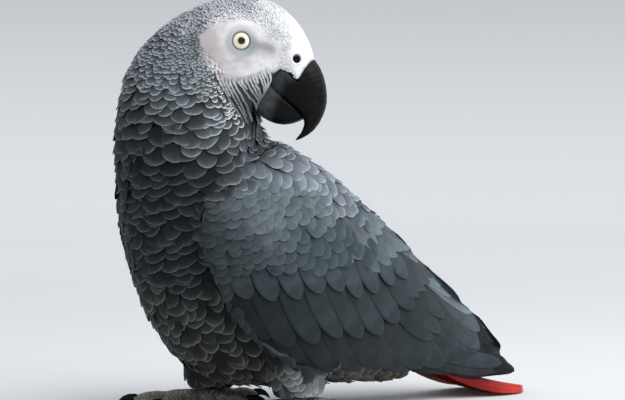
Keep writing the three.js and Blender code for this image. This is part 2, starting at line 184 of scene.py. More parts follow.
class PARROT_PG_plumage(bpy.types.PropertyGroup):
    """Colours of the feathers: each kind's middle, and its rim where that is paler."""

    forehead: paint("Forehead", "Feathers over the cere", "dcdde0")
    forehead_rim: paint("Forehead rim", "Their rims", "f2f3f5")
    crown: paint("Crown", "Feathers on top of the head", "a6a9af")
    crown_rim: paint("Crown rim", "Their rims", "c9cbd0")
    nape: paint("Nape", "Feathers behind the head", "50565b")
    nape_rim: paint("Nape rim", "Their rims", "a6afb4")
    ear: paint("Ear", "Soft feathers over the ear", "747c80")
    ear_rim: paint("Ear rim", "Their rims", "a3a9ac")
    cheek: paint("Cheek", "Short feathers under the bare face", "5d6366")
    cheek_rim: paint("Cheek rim", "Their rims", "eef0f2")
    neck: paint("Neck", "Long feathers on the neck's sides", "51585c")
    neck_rim: paint("Neck rim", "Their rims", "939ba0")
    collar: paint("Collar", "Broad feathers round the neck's foot", "24292c")
    collar_rim: paint("Collar rim", "Their rims", "5f686c")
    breast: paint("Breast", "Broad feathers on the breast", "161819")
    breast_rim: paint("Breast rim", "Their rims", "474c50")
    belly: paint("Belly", "Loose feathers on the belly and flanks", "252726")
    belly_rim: paint("Belly rim", "Their rims", "5c5f5c")
    thigh: paint("Thigh", "Short feathers on the thighs", "83878d")
    thigh_rim: paint("Thigh rim", "Their rims", "a9adb2")
    vent: paint("Vent", "Feathers between the legs and the tail", "55524a")
    vent_rim: paint("Vent rim", "Their rims", "6d6a60")
    mantle: paint("Mantle", "Feathers on the back", "7b848c")
    mantle_rim: paint("Mantle rim", "Their rims", "9aa4ad")
    rump: paint("Rump", "Feathers above the tail", "59636a")
    rump_rim: paint("Rump rim", "Their rims", "79838a")
    shoulder: paint("Shoulder", "Small feathers at the wing's bend", "626d72")
    shoulder_rim: paint("Shoulder rim", "Their rims", "707c82")
    covert: paint("Covert", "Middle feathers of the wing", "3e494d")
    covert_rim: paint("Covert rim", "Their rims", "4c585c")
    quill: paint("Quill", "Flight feathers", "3d474c")
    quill_rim: paint("Quill rim", "Their rims", "505c62")
    tip: paint("Tip", "Ends of the longest flight feathers", "15181b")
    tail: paint("Tail", "Tail feathers", "a61c16")
    tail_rim: paint("Tail rim", "Their rims", "bd3226")


class PARROT_PG_bare(bpy.types.PropertyGroup):
    """Colours of the bare parts."""

    face: paint("Face", "Bare skin round the eye", "e9e8e8")
    blush: paint("Blush", "Pink in the bare face", "9d9294")
    # Partly the skin's own blue-grey and partly painted shade of the eye's socket.
    ring: paint("Eye ring", "Blue-grey skin close round the eye", "858b93")
    lore: paint("Lore", "Grey streak from the eye to the nostril", "8f888c")
    cere: paint("Cere", "Skin over the bill", "e4e4e4")
    # Dark grey: painted shade where the skin shows between feathers.
    under: paint("Under skin", "Skin under the feathers", "3d4144")
    # Painted shade in the hollow of the nostril.
    nostril: paint("Nostril", "Inside of the nostril", "241f2a")
    lid: paint("Lid", "Rim of the eyelids", "454843")
    iris: paint("Iris", "Pale ring of the eye", "ece6c8")
    iris_edge: paint("Iris edge", "Where the iris meets the pupil", "c4bd94")
    horn: paint("Horn", "Bill and claws", "060607")
    dust_and_sheen: paint("Dust", "Powder on the bill", "5c6064")
    # Grey for the bill's powdery dusting, also used for a painted sheen at its base by the cere.
    foot: paint("Foot", "Scales of the feet", "716e68")
    crease: paint("Crease", "Skin between the scales", "3a3734")


class PARROT_PG_build(bpy.types.PropertyGroup):
    """Sizes of the making."""

    seed: bpy.props.IntProperty(name="Seed", description="Start of the random draws", default=7, min=0)
    grain: length("Grain", "Size of the mesh that the feathers are laid on", 1.45)
    skin_grain: length("Skin grain", "Size of the skin's mesh", 1.3)
    fine_grain: length("Fine grain", "Size of the mesh of horn and feet", 0.5)
    patch: bpy.props.FloatProperty(
        name="Patch", description="Width of a feather's place on the baking map", default=0.004, min=0.001
    )
    iris: length("Iris", "Radius of the iris", 3.8)
    pupil: length("Pupil", "Radius of the pupil", 1.65)


class PARROT_PG_stage(bpy.types.PropertyGroup):
    """The floor, the light and the camera."""

    floor: paint("Floor", "The floor", "dcddde")
    # Painted light: the floor pales from near the bird to far off and the wall's foot, and the wall above is
    # darker.
    painted_far_light: paint("Far floor", "The floor far off, and the foot of the wall", "efeff0")
    wall: paint("Wall", "The wall behind", "c4c5c7")
    key: bpy.props.FloatProperty(
        name="Key", description="Power of the large soft lamp", default=11.0, min=0, subtype="POWER",
        unit="POWER",
    )
    sky: bpy.props.FloatProperty(
        name="Sky", description="Strength of the light all round", default=0.82, min=0
    )
    lens: bpy.props.FloatProperty(
        name="Lens", description="Focal length", default=106.27, min=1, subtype="DISTANCE_CAMERA",
        unit="CAMERA",
    )
    distance: length("Distance", "From the camera to the bird", 900)
    azimuth: bpy.props.FloatProperty(
        name="Azimuth", description="Where the camera stands", default=math.radians(58), subtype="ANGLE"
    )
    elevation: bpy.props.FloatProperty(
        name="Elevation", description="How far the camera looks down", default=math.radians(1.5),
        subtype="ANGLE",
    )


def plumage():
    """The settings of the feathers' colours."""
    return bpy.context.scene.parrot_plumage


def bare():
    """The settings of the bare parts' colours."""
    return bpy.context.scene.parrot_bare


def build():
    """The settings of the making."""
    return bpy.context.scene.parrot_build


def scenery():
    """The settings of the floor, the light and the camera."""
    return bpy.context.scene.parrot_stage


def draws(offset=0):
    """Random draws for one piece, the same at every run."""
    return np.random.default_rng(build().seed + offset)


# ---------------------------------------------------------------- meshes
def make_active(obj):
    """Selects one object only."""
    bpy.ops.object.select_all(action="DESELECT")
    obj.select_set(True)
    bpy.context.view_layer.objects.active = obj


def apply_modifier(obj, kind, **settings):
    """Adds a modifier and applies it."""
    make_active(obj)
    modifier = obj.modifiers.new(kind, kind)
    for key, value in settings.items():
        setattr(modifier, key, value)
    bpy.ops.object.modifier_apply(modifier=modifier.name)


def new_object(name, data):
    """An object of its own for a mesh, a lamp or a camera, in the scene."""
    obj = bpy.data.objects.new(name, data)
    bpy.context.collection.objects.link(obj)
    return obj


def merged_copy(name, nodes):
    """A new object that holds copies of CAD nodes, their loose triangles merged."""
    shape = bmesh.new()
    for node in nodes:
        shape.from_mesh(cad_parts[node].data)
    bmesh.ops.remove_doubles(shape, verts=shape.verts, dist=0.005 * MM)
    mesh = bpy.data.meshes.new(name)
    shape.to_mesh(mesh)
    shape.free()
    return new_object(name, mesh)


def grown_copy(name, nodes, grain, rounds, swell=0.25):
    """CAD nodes as one even mesh: swollen till they touch, meshed afresh and smoothed."""
    obj = merged_copy(name, nodes)
    apply_modifier(obj, "DISPLACE", strength=swell * MM, mid_level=0)
    apply_modifier(obj, "REMESH", mode="VOXEL", voxel_size=grain, use_smooth_shade=True)
    apply_modifier(obj, "SMOOTH", factor=0.5, iterations=rounds)
    return obj


def read_points(mesh, kind="co"):
    """The place, or the normal, of each vertex."""
    flat = np.empty(len(mesh.vertices) * 3, np.float32)
    mesh.vertices.foreach_get(kind, flat)
    return flat.reshape(-1, 3).astype(float)


def read_surface(mesh):
    """The places of a mesh's vertices in the bird's millimetres, and their normals."""
    return to_bird(read_points(mesh)), read_points(mesh, "normal")


def write_points(mesh, points):
    """Moves each vertex to its new place, given in the bird's millimetres."""
    mesh.vertices.foreach_set("co", to_world(points).astype(np.float32).ravel())
    mesh.update()


def write_colour(mesh, name, colours):
    """A colour for each vertex, red, green, blue and a fourth value."""
    layer = mesh.color_attributes.new(name=name, type="FLOAT_COLOR", domain="POINT")
    layer.data.foreach_set("color", np.asarray(colours, np.float32).ravel())


def write_share(mesh, name, shares):
    """A number for each vertex."""
    layer = mesh.attributes.new(name=name, type="FLOAT", domain="POINT")
    layer.data.foreach_set("value", shares.astype(np.float32))


def search_tree(places):
    """A tree that finds the places near a point."""
    tree = KDTree(len(places))
    for i, place in enumerate(places.tolist()):
        tree.insert(place, i)
    tree.balance()
    return tree


def dress(obj, material, slot, *replaced):
    """Gives a finished piece its material and its body, and hides the nodes it stands for. The slot is not
    used.
    """
    obj.data.materials.clear()
    obj.data.materials.append(material)
    make_active(obj)
    bpy.ops.object.shade_smooth()
    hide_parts(*replaced)
    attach(obj, "root")


DEEPEST = 60.0  # how far a ray through the bird is followed, in mm


class Surface:
    """A closed mesh that feathers are laid on, in the bird's own millimetres."""

    def __init__(self, mesh):
        mesh.calc_loop_triangles()
        flat = np.empty(len(mesh.loop_triangles) * 3, np.int32)
        mesh.loop_triangles.foreach_get("vertices", flat)
        self.triangles = flat.reshape(-1, 3)
        self.points, self.normals = read_surface(mesh)
        self.tree = BVHTree.FromPolygons(self.points.tolist(), self.triangles.tolist())
        self.lie = None  # which way the coat lies at each vertex

    def shares(self, places, faces):
        """How much of each corner of its triangle a place takes."""
        a, b, c = self.points[self.triangles[faces]].transpose(1, 0, 2)
        normal = np.cross(b - a, c - a)
        size = np.maximum((normal * normal).sum(1), 1e-12)
        second = (np.cross(c - b, places - b) * normal).sum(1) / size
        third = (np.cross(a - c, places - c) * normal).sum(1) / size
        found = np.stack([second, third, 1 - second - third], axis=1)
        found = np.clip(found, 0, 1)
        return found / found.sum(1, keepdims=True)

    def blend(self, values, faces, shares):
        """Values of vertices at places within triangles."""
        corners = values[self.triangles[faces]]
        if corners.ndim == 2:
            return (corners * shares).sum(1)
        return (corners * shares[:, :, None]).sum(1)

    def thickness(self, points, inward):
        """How far it is through the solid from points on it."""
        starts = points + inward * 0.05
        hits = [self.tree.ray_cast(Vector(a), Vector(b), DEEPEST)[3] for a, b in zip(starts, inward)]
        return np.array([DEEPEST if hit is None else hit for hit in hits])

    def nearest(self, points):
        """The nearest places, their triangles and their shares of the corners."""
        hits = [self.tree.find_nearest(point) for point in np.asarray(points, float).tolist()]
        places = np.array([tuple(hit[0]) for hit in hits])
        faces = np.array([hit[2] for hit in hits])
        return places, faces, self.shares(places, faces)


# ---------------------------------------------------------------- where each kind of feather grows
# Each kind's length, width, distance apart and the coat's depth in mm, and where its rim starts as a share
# of the way from the shaft to the vane's outline.
PLUMES = {
    "forehead": (1.7, 1.3, 0.72, 0.45, 0.5),
    "crown": (2.6, 1.9, 0.98, 1.0, 0.66),
    "hindcrown": (3.8, 2.9, 1.25, 1.5, 0.78),
    "nape": (7.0, 5.4, 1.75, 2.1, 0.88),
    "ear": (3.4, 1.7, 1.05, 1.0, 0.7),
    "cheek": (2.6, 1.4, 0.9, 0.9, 0.55),
    "neck": (10.5, 9.5, 2.25, 2.6, 0.92),
    "collar": (14.0, 14.5, 2.85, 3.2, 0.945),
    "throat": (10.0, 10.0, 2.6, 2.6, 0.92),
    "breast": (14.5, 14.5, 2.75, 3.2, 0.945),
    "belly": (15.5, 11.5, 3.5, 3.4, 0.93),
    "flank": (19.0, 10.0, 4.8, 3.8, 0.9),
    "thigh": (7.0, 4.6, 2.2, 1.8, 0.8),
    "vent": (13.0, 9.0, 4.0, 2.8, 0.85),
    "mantle": (14.0, 12.5, 4.4, 2.4, 0.92),
    "rump": (12.0, 10.0, 4.2, 2.4, 0.9),
    "shoulder": (8.8, 8.4, 3.2, 1.5, 0.9),
    "bend": (8.0, 7.4, 2.8, 1.5, 0.9),
    "covert": (12.0, 11.0, 4.2, 1.7, 0.92),
}
# Columns of the values blended from the guides: these five, then the middle colour and the rim's.
LENGTH, WIDTH, SPACING, DEPTH, RIM = range(5)
MIDDLE_TONE, RIM_TONE = slice(5, 8), slice(8, 11)
WING_KINDS = ("shoulder", "bend", "covert")
# Kinds whose colours lie between those of two others: the first, the share of the second, and the second.
TONES = {
    "hindcrown": ("crown", 0.45, "nape"),
    "throat": ("neck", 0.35, "collar"),
    "flank": ("belly", 0.0, "belly"),
    "bend": ("covert", 0.3, "shoulder"),
}

# Guides on the head's right side: a place, the way the coat lies there, and the kind of feather.
HEAD_GUIDES = [
    ((23, 0, 9), (-0.6, 0, 0.8), "forehead"),
    ((16, -9, 13), (-0.75, -0.2, 0.6), "forehead"),
    ((18, -12, 4), (-0.8, -0.3, 0.5), "forehead"),
    ((12, 0, 19), (-0.95, 0, 0.3), "forehead"),
    ((21, -11, -3), (-0.8, -0.3, 0.4), "forehead"),
    ((20, -12, -10), (-0.6, -0.3, -0.5), "forehead"),
    ((15, -14, -12.5), (0.1, -0.2, -0.9), "forehead"),
    ((9, -19, 13), (-0.95, -0.1, 0.2), "forehead"),
    ((2, -6, 22), (-1, 0, 0.05), "crown"),
    ((4, -15, 14), (-0.95, -0.1, 0.2), "crown"),
    ((-10, -6, 22), (-1, 0, 0), "crown"),
    ((-9, -17, 14), (-1, 0, -0.1), "crown"),
    ((-24, -6, 18), (-0.95, 0, -0.3), "hindcrown"),
    ((-22, -18, 9), (-0.9, 0, -0.45), "hindcrown"),
    ((-34, -8, 11), (-0.75, 0, -0.65), "hindcrown"),
    ((-42, -6, 1), (-0.5, 0, -0.87), "nape"),
    ((-34, -18, -2), (-0.55, 0, -0.83), "nape"),
    ((-46, -6, -16), (-0.3, 0, -0.95), "nape"),
    ((-38, -17, -16), (-0.4, 0, -0.92), "nape"),
    ((-21, -23, -3), (-0.5, 0, -0.86), "ear"),
    ((-16, -24, -11), (-0.3, 0, -0.95), "ear"),
    ((-27, -22, -10), (-0.2, 0, -0.98), "ear"),
    ((-15, -24, -19), (-0.05, 0, -1), "ear"),
    ((-25, -22, -20), (0.05, 0, -1), "neck"),
    ((-9, -23, -18), (0.12, 0, -1), "cheek"),
    ((-1, -22, -18), (0.25, 0, -0.97), "cheek"),
    ((7, -20, -17), (0.35, 0, -0.93), "cheek"),
    ((14, -15, -17), (0.45, 0, -0.9), "cheek"),
    ((-6, -22, -25), (0.3, 0, -0.95), "cheek"),
    ((2, -20, -25), (0.5, 0, -0.86), "cheek"),
    ((9, -17, -21), (0.55, 0, -0.83), "cheek"),
    ((-2, -21, -31), (0.62, 0, -0.78), "cheek"),
    ((6, -17, -30), (0.75, 0.1, -0.66), "cheek"),
    ((-12, -23, -29), (0.3, 0, -0.95), "neck"),
    ((-33, -19, -32), (-0.3, 0, -0.95), "neck"),
    ((-21, -23, -34), (-0.1, 0, -1), "neck"),
    ((2, -15, -36), (0.75, 0.1, -0.65), "throat"),
    ((5, 0, -35), (0.2, 0, -0.98), "throat"),
    ((-6, -21, -38), (0.55, 0, -0.84), "throat"),
    ((-47, -4, -34), (-0.2, 0, -1), "neck"),
]
# Guides on the body's left side, in the bird's own frame.
BODY_GUIDES = [
    ((0, -66, 150), (0, 0, -1), "collar"),
    ((18, -64, 140), (0.1, 0.05, -1), "collar"),
    ((26, -52, 147), (0.25, 0.2, -0.95), "collar"),
    ((34, -36, 134), (0.25, 0.35, -0.9), "collar"),
    ((30, -14, 145), (0.2, 0.45, -0.87), "throat"),
    ((14, 0, 148), (0, 0.5, -0.87), "throat"),
    ((0, 2, 150), (0, 0.5, -0.87), "nape"),
    ((30, -20, 128), (0.25, 0.55, -0.8), "mantle"),
    ((0, -72, 122), (0, 0, -1), "breast"),
    ((10, -70, 133), (0.05, 0, -1), "breast"),
    ((26, -62, 127), (0.1, 0.05, -1), "breast"),
    ((35, -52, 120), (0.1, 0.1, -1), "breast"),
    ((24, -66, 112), (0.1, 0.05, -1), "breast"),
    ((36, -55, 100), (0.1, 0.12, -1), "breast"),
    ((0, -69, 90), (0, 0.1, -1), "breast"),
    ((26, -62, 78), (0.05, 0.15, -1), "breast"),
    ((0, -60, 60), (0, 0.3, -0.95), "belly"),
    ((28, -50, 52), (0.05, 0.3, -0.95), "belly"),
    ((39, -32, 60), (0, 0.35, -0.94), "flank"),
    ((38, -18, 38), (0.05, 0.4, -0.92), "flank"),
    ((24, -36, 28), (0.1, 0.45, -0.85), "flank"),
    ((0, -42, 28), (0, 0.6, -0.8), "belly"),
    ((0, -10, 13), (0, 0.95, -0.2), "vent"),
    ((20, -5, 16), (0, 0.8, -0.6), "belly"),
    ((0, 25, 11), (0, 1, -0.05), "vent"),
    ((16, 30, 20), (0, 0.98, -0.2), "vent"),
    ((0, 60, 11), (0, 1, 0), "vent"),
    ((28, 10, 36), (0, 0.25, -0.97), "thigh"),
    ((26, 10, 18), (0, 0.1, -1), "thigh"),
    ((26, 26, 26), (0, 0.3, -0.95), "thigh"),
    ((0, 16, 132), (0, 0.7, -0.72), "mantle"),
    ((20, 14, 127), (0.1, 0.72, -0.7), "mantle"),
    ((32, -2, 120), (0.15, 0.75, -0.65), "mantle"),
    ((0, 40, 114), (0, 0.76, -0.65), "mantle"),
    ((20, 36, 108), (0.02, 0.8, -0.6), "mantle"),
    ((26, 50, 92), (0.1, 0.8, -0.6), "rump"),
    ((22, 40, 103), (0.1, 0.8, -0.6), "rump"),
    ((0, 64, 94), (0, 0.75, -0.66), "rump"),
    ((0, 86, 69), (0, 0.6, -0.8), "rump"),
    ((0, 99, 48), (0, 0.55, -0.83), "rump"),
    ((40, -48, 108), (0.1, 0.25, -0.96), "bend"),
    ((43, -46, 90), (0, 0.3, -0.95), "bend"),
    ((44, -36, 106), (0.1, 0.55, -0.83), "shoulder"),
    ((44, -15, 112), (0.2, 0.75, -0.63), "shoulder"),
    ((46, -38, 74), (0, 0.35, -0.94), "bend"),
    ((47, -30, 84), (0, 0.5, -0.87), "bend"),
    ((47, -20, 86), (0, 0.6, -0.8), "bend"),
    ((43, -20, 42), (0, 0.55, -0.83), "covert"),
    ((45, -34, 60), (0, 0.45, -0.9), "covert"),
    ((47, -14, 76), (0, 0.6, -0.8), "covert"),
    ((46, -22, 96), (0, 0.6, -0.8), "shoulder"),
    ((42, 10, 108), (0.1, 0.8, -0.6), "shoulder"),
    ((48, -24, 62), (0, 0.4, -0.92), "covert"),
    ((48, 0, 84), (0, 0.62, -0.78), "covert"),
    ((46, 24, 80), (0, 0.7, -0.7), "covert"),
    ((38, 36, 92), (0, 0.78, -0.63), "covert"),
]

# The outline of the bare face, ahead and up from the eye.
FACE = [
    (-19.3, 3.3), (-13.8, 7.3), (-6.9, 10.4), (0, 11), (6.9, 8.7), (13.9, 1.8), (19.5, -2.5), (19, -8.6),
    (12.5, -12.4), (6.9, -15.8), (0, -17), (-4.8, -16), (-8.3, -12.3), (-12.5, -7.6), (-17.3, -2.2),
]
CERE_EDGE = (20.5, -4.0)  # the cere starts here, ahead and up from between the eyes
CERE_FACING = (0.88, 0.3)  # which way is further onto the cere, ahead and up
CERE_REACH = (40, 22, -26)  # no cere further ahead, further to a side or lower than this
HEAD_MIDDLE = 8.0  # nearer than this to the head's middle plane there is no bare face


def both_sides():
    """Guide places, directions and kinds for the whole bird."""
    head = (HEAD_GUIDES, (0, 1, 0), HEAD_AXES, BETWEEN_EYES)
    body = (BODY_GUIDES, (1, 0, 0), np.eye(3), np.zeros(3))
    places, ways, kinds = [], [], []
    for guides, sideways, axes, centre in (head, body):
        for place, way, kind in guides:
            for side in SIDES.values():
                mirror = np.where(sideways, side, 1)
                places.append(centre + np.array(place) * mirror @ axes)
                ways.append(np.array(way) * mirror @ axes)
                kinds.append(kind)
    return np.array(places, float), unit(ways), kinds


def kind_tones(kind):
    """The middle and rim colours of a kind of feather."""
    colours = plumage()
    first, share, second = TONES.get(kind, (kind, 0.0, kind))
    found = []
    for suffix in ("", "_rim"):
        a = np.array(getattr(colours, first + suffix))
        b = np.array(getattr(colours, second + suffix))
        found.append(a * (1 - share) + b * share)
    return found


def guide_values():
    """For each guide: length, width, distance apart, depth, rim, and the two colours."""
    kinds = both_sides()[2]
    return np.array([(*PLUMES[kind], *np.concatenate(kind_tones(kind))) for kind in kinds])


def blended_guides(points, on_wing, softness=4.0, sharpness=2.2):
    """The lie of the coat and the feathers' sizes and colours at points, from the guides near them.

    A guide counts for less with distance, by the power of twice the sharpness, once it is further off than
    the softness in mm.
    """
    places, ways, kinds = both_sides()
    values = guide_values()
    of_wing = np.array([kind in WING_KINDS for kind in kinds])
    lies, sizes = [], []
    for rows in np.array_split(np.arange(len(points)), max(1, len(points) // BATCH)):
        gap = ((points[rows][:, None, :] - places[None]) ** 2).sum(2) + softness**2
        weight = gap**-sharpness * (of_wing[None] == on_wing[rows][:, None])
        weight /= weight.sum(1, keepdims=True)
        lies.append(weight @ ways)
        sizes.append(weight @ values)
    return np.concatenate(lies), np.concatenate(sizes)


def nearer_wing(points):
    """Whether each point is nearer to a wing's solid than to the other solids of flesh."""
    gaps = []
    for nodes in (WING_FLESH, TRUNK_FLESH):
        obj = merged_copy("solids", nodes)
        surface = Surface(obj.data)
        bpy.data.objects.remove(obj)
        gaps.append([surface.tree.find_nearest(point)[3] for point in points.tolist()])
    return np.array(gaps[0]) < np.array(gaps[1])


def face_edge(points):
    """How far points of the head are inside the bare face's outline, in mm. Outside is negative."""
    ahead, left, up = head_axes(points).T
    flat = np.stack([ahead, up], axis=1)
    corners = np.array(FACE)
    following = np.roll(corners, -1, axis=0)
    best = np.full(len(flat), FAR_OFF)
    inside = np.zeros(len(flat), bool)
    for a, b in zip(corners, following):
        edge = b - a
        share = np.clip(((flat - a) @ edge) / (edge @ edge), 0, 1)
        gap = np.linalg.norm(flat - a - share[:, None] * edge, axis=1)
        best = np.minimum(best, gap)
        crosses = (a[1] > flat[:, 1]) != (b[1] > flat[:, 1])
        reach = a[0] + (flat[:, 1] - a[1]) / (b[1] - a[1] + 1e-12) * edge[0]
        inside ^= crosses & (flat[:, 0] < reach)
    beside = np.abs(left) > HEAD_MIDDLE
    return np.where(inside & beside, best, -best - np.where(beside, 0, 3))


def past_cere(points):
    """How far points of the head are ahead of the line where the cere starts, in mm."""
    ahead, left, up = head_axes(points).T
    facing = np.array(CERE_FACING) / np.hypot(*CERE_FACING)
    past = (ahead - CERE_EDGE[0]) * facing[0] + (up - CERE_EDGE[1]) * facing[1]
    near = (ahead < CERE_REACH[0]) & (np.abs(left) < CERE_REACH[1]) & (up > CERE_REACH[2])
    return np.where(near, past, -20)


# The line on a folded wing, as [y, z], above which small feathers are scattered. Long rows lie below it.
COVERT_LINE = [(-60, 76), (-40, 75), (-14, 77), (56, 78), (90, 70)]
REAR_LINE = 44.0  # behind this y the rows cover the whole wing
ROWS_DEPTH = 4.6  # how deep the skin lies under the long rows
FRONT_EDGE_FACING = np.array((0.0, -0.8, -0.6))  # how the lower front edge faces, where small feathers grow


@functools.cache
def form():
    """The outer form of the feathered body, and what grows at each of its vertices."""
    obj = grown_copy("form", FLESH, build().grain, 16)
    surface = Surface(obj.data)
    bpy.data.objects.remove(obj)
    surface.wing = nearer_wing(surface.points)
    lie, surface.values = blended_guides(surface.points, surface.wing)
    lie -= surface.normals * (lie * surface.normals).sum(1, keepdims=True)
    surface.lie = unit(lie)
    surface.face = face_edge(surface.points)
    surface.cere = past_cere(surface.points)
    # Where the long rows lie on a wing, as 1, and where small feathers grow, as 0.
    line = np.array(COVERT_LINE, float)
    under = np.interp(surface.points[:, 1], line[:, 0], line[:, 1]) - surface.points[:, 2]
    behind = smooth(REAR_LINE - 3.0, REAR_LINE + 1.0, surface.points[:, 1])
    facing = surface.normals @ FRONT_EDGE_FACING
    edge = smooth(0.3, 0.6, facing) * smooth(8.0, 0.0, surface.points[:, 1])
    surface.rows = surface.wing * np.maximum(smooth(-2.0, 2.0, under), behind) * (1 - edge)
    return surface


def wing_nodes(name):
    """The nodes of one folded wing."""
    return [f"wing_{name}_{part}" for part in ("coverts", "secondaries", "primaries")]


JOINED_GRAIN = 1.5  # size of the mesh that the long rows are laid on


@functools.cache
def joined_form(*nodes):
    """The outer surface of some nodes together."""
    obj = grown_copy("joined form", nodes, JOINED_GRAIN * MM, 10)
    surface = Surface(obj.data)
    bpy.data.objects.remove(obj)
    return surface


# The outline of a folded wing, above and below, as [y, z].
WING_TOP = [
    (-48.5, 108), (-40, 113.5), (-24, 116), (0, 116), (26, 112), (52, 102.5), (78, 86), (102, 67.3),
    (122.5, 49.5), (135.5, 41.5), (144, 29.5), (152, 18.5), (158, 13.5),
]
WING_FOOT = [
    (-53.5, 91), (-46, 68), (-34, 47), (-15, 31), (8, 20.5), (35, 17.5), (64, 15), (94, 11.5), (120, 8),
    (158.5, 8.2),
]
WING_MARGIN = 0.7  # how far inside that outline the long feathers stay
# How thin a folded wing grows towards its tip: y, and the share of their full depth that its rows have.
WING_TAPER = [(60, 1.0), (102, 0.8), (122, 0.5), (135, 0.42), (144, 0.3), (152, 0.2), (158, 0.12)]
TRUNK_SHOWS = 70.0  # above this z the trunk may lie outside a folded wing


def within_wing(y, z):
    """Heights brought inside a folded wing's outline."""
    low = np.interp(y, *np.array(WING_FOOT, float).T) + WING_MARGIN
    high = np.interp(y, *np.array(WING_TOP, float).T) - WING_MARGIN
    return np.clip(z, low, np.maximum(high, low))


# ---------------------------------------------------------------- materials
class Finish:
    """A material, with short ways to add nodes and join them."""

    def __init__(self, name, **fixed):
        self.material = bpy.data.materials.new(name)
        self.material.use_nodes = True
        self.tree = self.material.node_tree
        self.shader = self.tree.nodes["Principled BSDF"]
        for key, value in fixed.items():
            label = key.replace("_", " ").title().replace("Ior", "IOR")
            self.shader.inputs[label].default_value = value

    def add(self, kind, inputs=(), **settings):
        """A node, with its inputs joined to other nodes or set."""
        node = self.tree.nodes.new("ShaderNode" + kind)
        for key, value in settings.items():
            setattr(node, key, value)
        for key, value in dict(inputs).items():
            if isinstance(value, bpy.types.NodeSocket):
                self.tree.links.new(value, node.inputs[key])
            else:
                node.inputs[key].default_value = value
        return node

    def maths(self, operation, first, second=0.0, third=0.0):
        """One operation on up to three numbers."""
        inputs = {0: first, 1: second, 2: third}
        return self.add("Math", inputs, operation=operation).outputs[0]

    def distance(self, first, second):
        """How far out a place is, from how far it is along two axes square to each other."""
        squares = [self.maths("MULTIPLY", value, value) for value in (first, second)]
        return self.maths("SQRT", self.maths("ADD", *squares))

    def mix(self, share, first, second, way="MIX"):
        """Two colours mixed."""
        colours = {}
        for key, value in {6: first, 7: second}.items():
            colours[key] = value if isinstance(value, bpy.types.NodeSocket) else (*value[:3], 1)
        node = self.add("Mix", {0: share, **colours}, data_type="RGBA", blend_type=way)
        return node.outputs[2]

    def step(self, value, low, high, start=0.0, end=1.0):
        """A number that eases from start to end while the value goes from low to high."""
        inputs = {"Value": value, "From Min": low, "From Max": high, "To Min": start, "To Max": end}
        return self.add("MapRange", inputs, interpolation_type="SMOOTHSTEP").outputs[0]

    def places(self, centre=None, turn=None):
        """Object coordinates, or millimetres from a centre along a turned frame's axes."""
        coordinates = self.add("TexCoord").outputs["Object"]
        if centre is None:
            return coordinates
        inputs = {0: coordinates, "Location": centre, "Rotation": turn, "Scale": (MM, MM, MM)}
        return self.add("Mapping", inputs, vector_type="TEXTURE").outputs[0]

    def grey(self, share):
        """A grey as light as a number."""
        return self.add("CombineColor", {0: share, 1: share, 2: share}).outputs[0]

    def noise(self, places, scale, detail=3.0, warp=0.0):
        """Cloudy noise from 0 to 1."""
        inputs = {"Vector": places, "Scale": scale, "Detail": detail, "Distortion": warp}
        return self.add("TexNoise", inputs).outputs["Fac"]

    def colour(self, socket):
        """Joins a colour to the shader."""
        self.tree.links.new(socket, self.shader.inputs["Base Color"])
        return self

    def rough(self, socket):
        """Joins a roughness to the shader."""
        self.tree.links.new(socket, self.shader.inputs["Roughness"])

    def bump(self, height, deep, strength=1.0):
        """Fine relief, deep millimetres where the height is one."""
        inputs = {"Height": height, "Distance": deep * MM, "Strength": strength}
        node = self.add("Bump", inputs)
        self.tree.links.new(node.outputs[0], self.shader.inputs["Normal"])

    def attribute(self, name):
        """The node that reads a named attribute."""
        return self.add("Attribute", attribute_name=name)


ROUND_FROM = 0.62  # where along a vane its tip begins to round off
BARBS = 150.0  # how fast the barbs follow one another along a vane


def vane_parts(finish):
    """Across a vane from its shaft, signed, along it, and how near its outline: all as shares."""
    split = finish.add("SeparateXYZ", {0: finish.add("UVMap", uv_map="Vane").outputs[0]})
    across = finish.maths("MULTIPLY_ADD", split.outputs[0], 2.0, -1.0)
    lengthwise = split.outputs[1]
    tip = finish.maths("MAXIMUM", finish.maths("SUBTRACT", lengthwise, ROUND_FROM), 0.0)
    tip = finish.maths("DIVIDE", tip, 1 - ROUND_FROM)
    return across, lengthwise, finish.distance(across, tip)


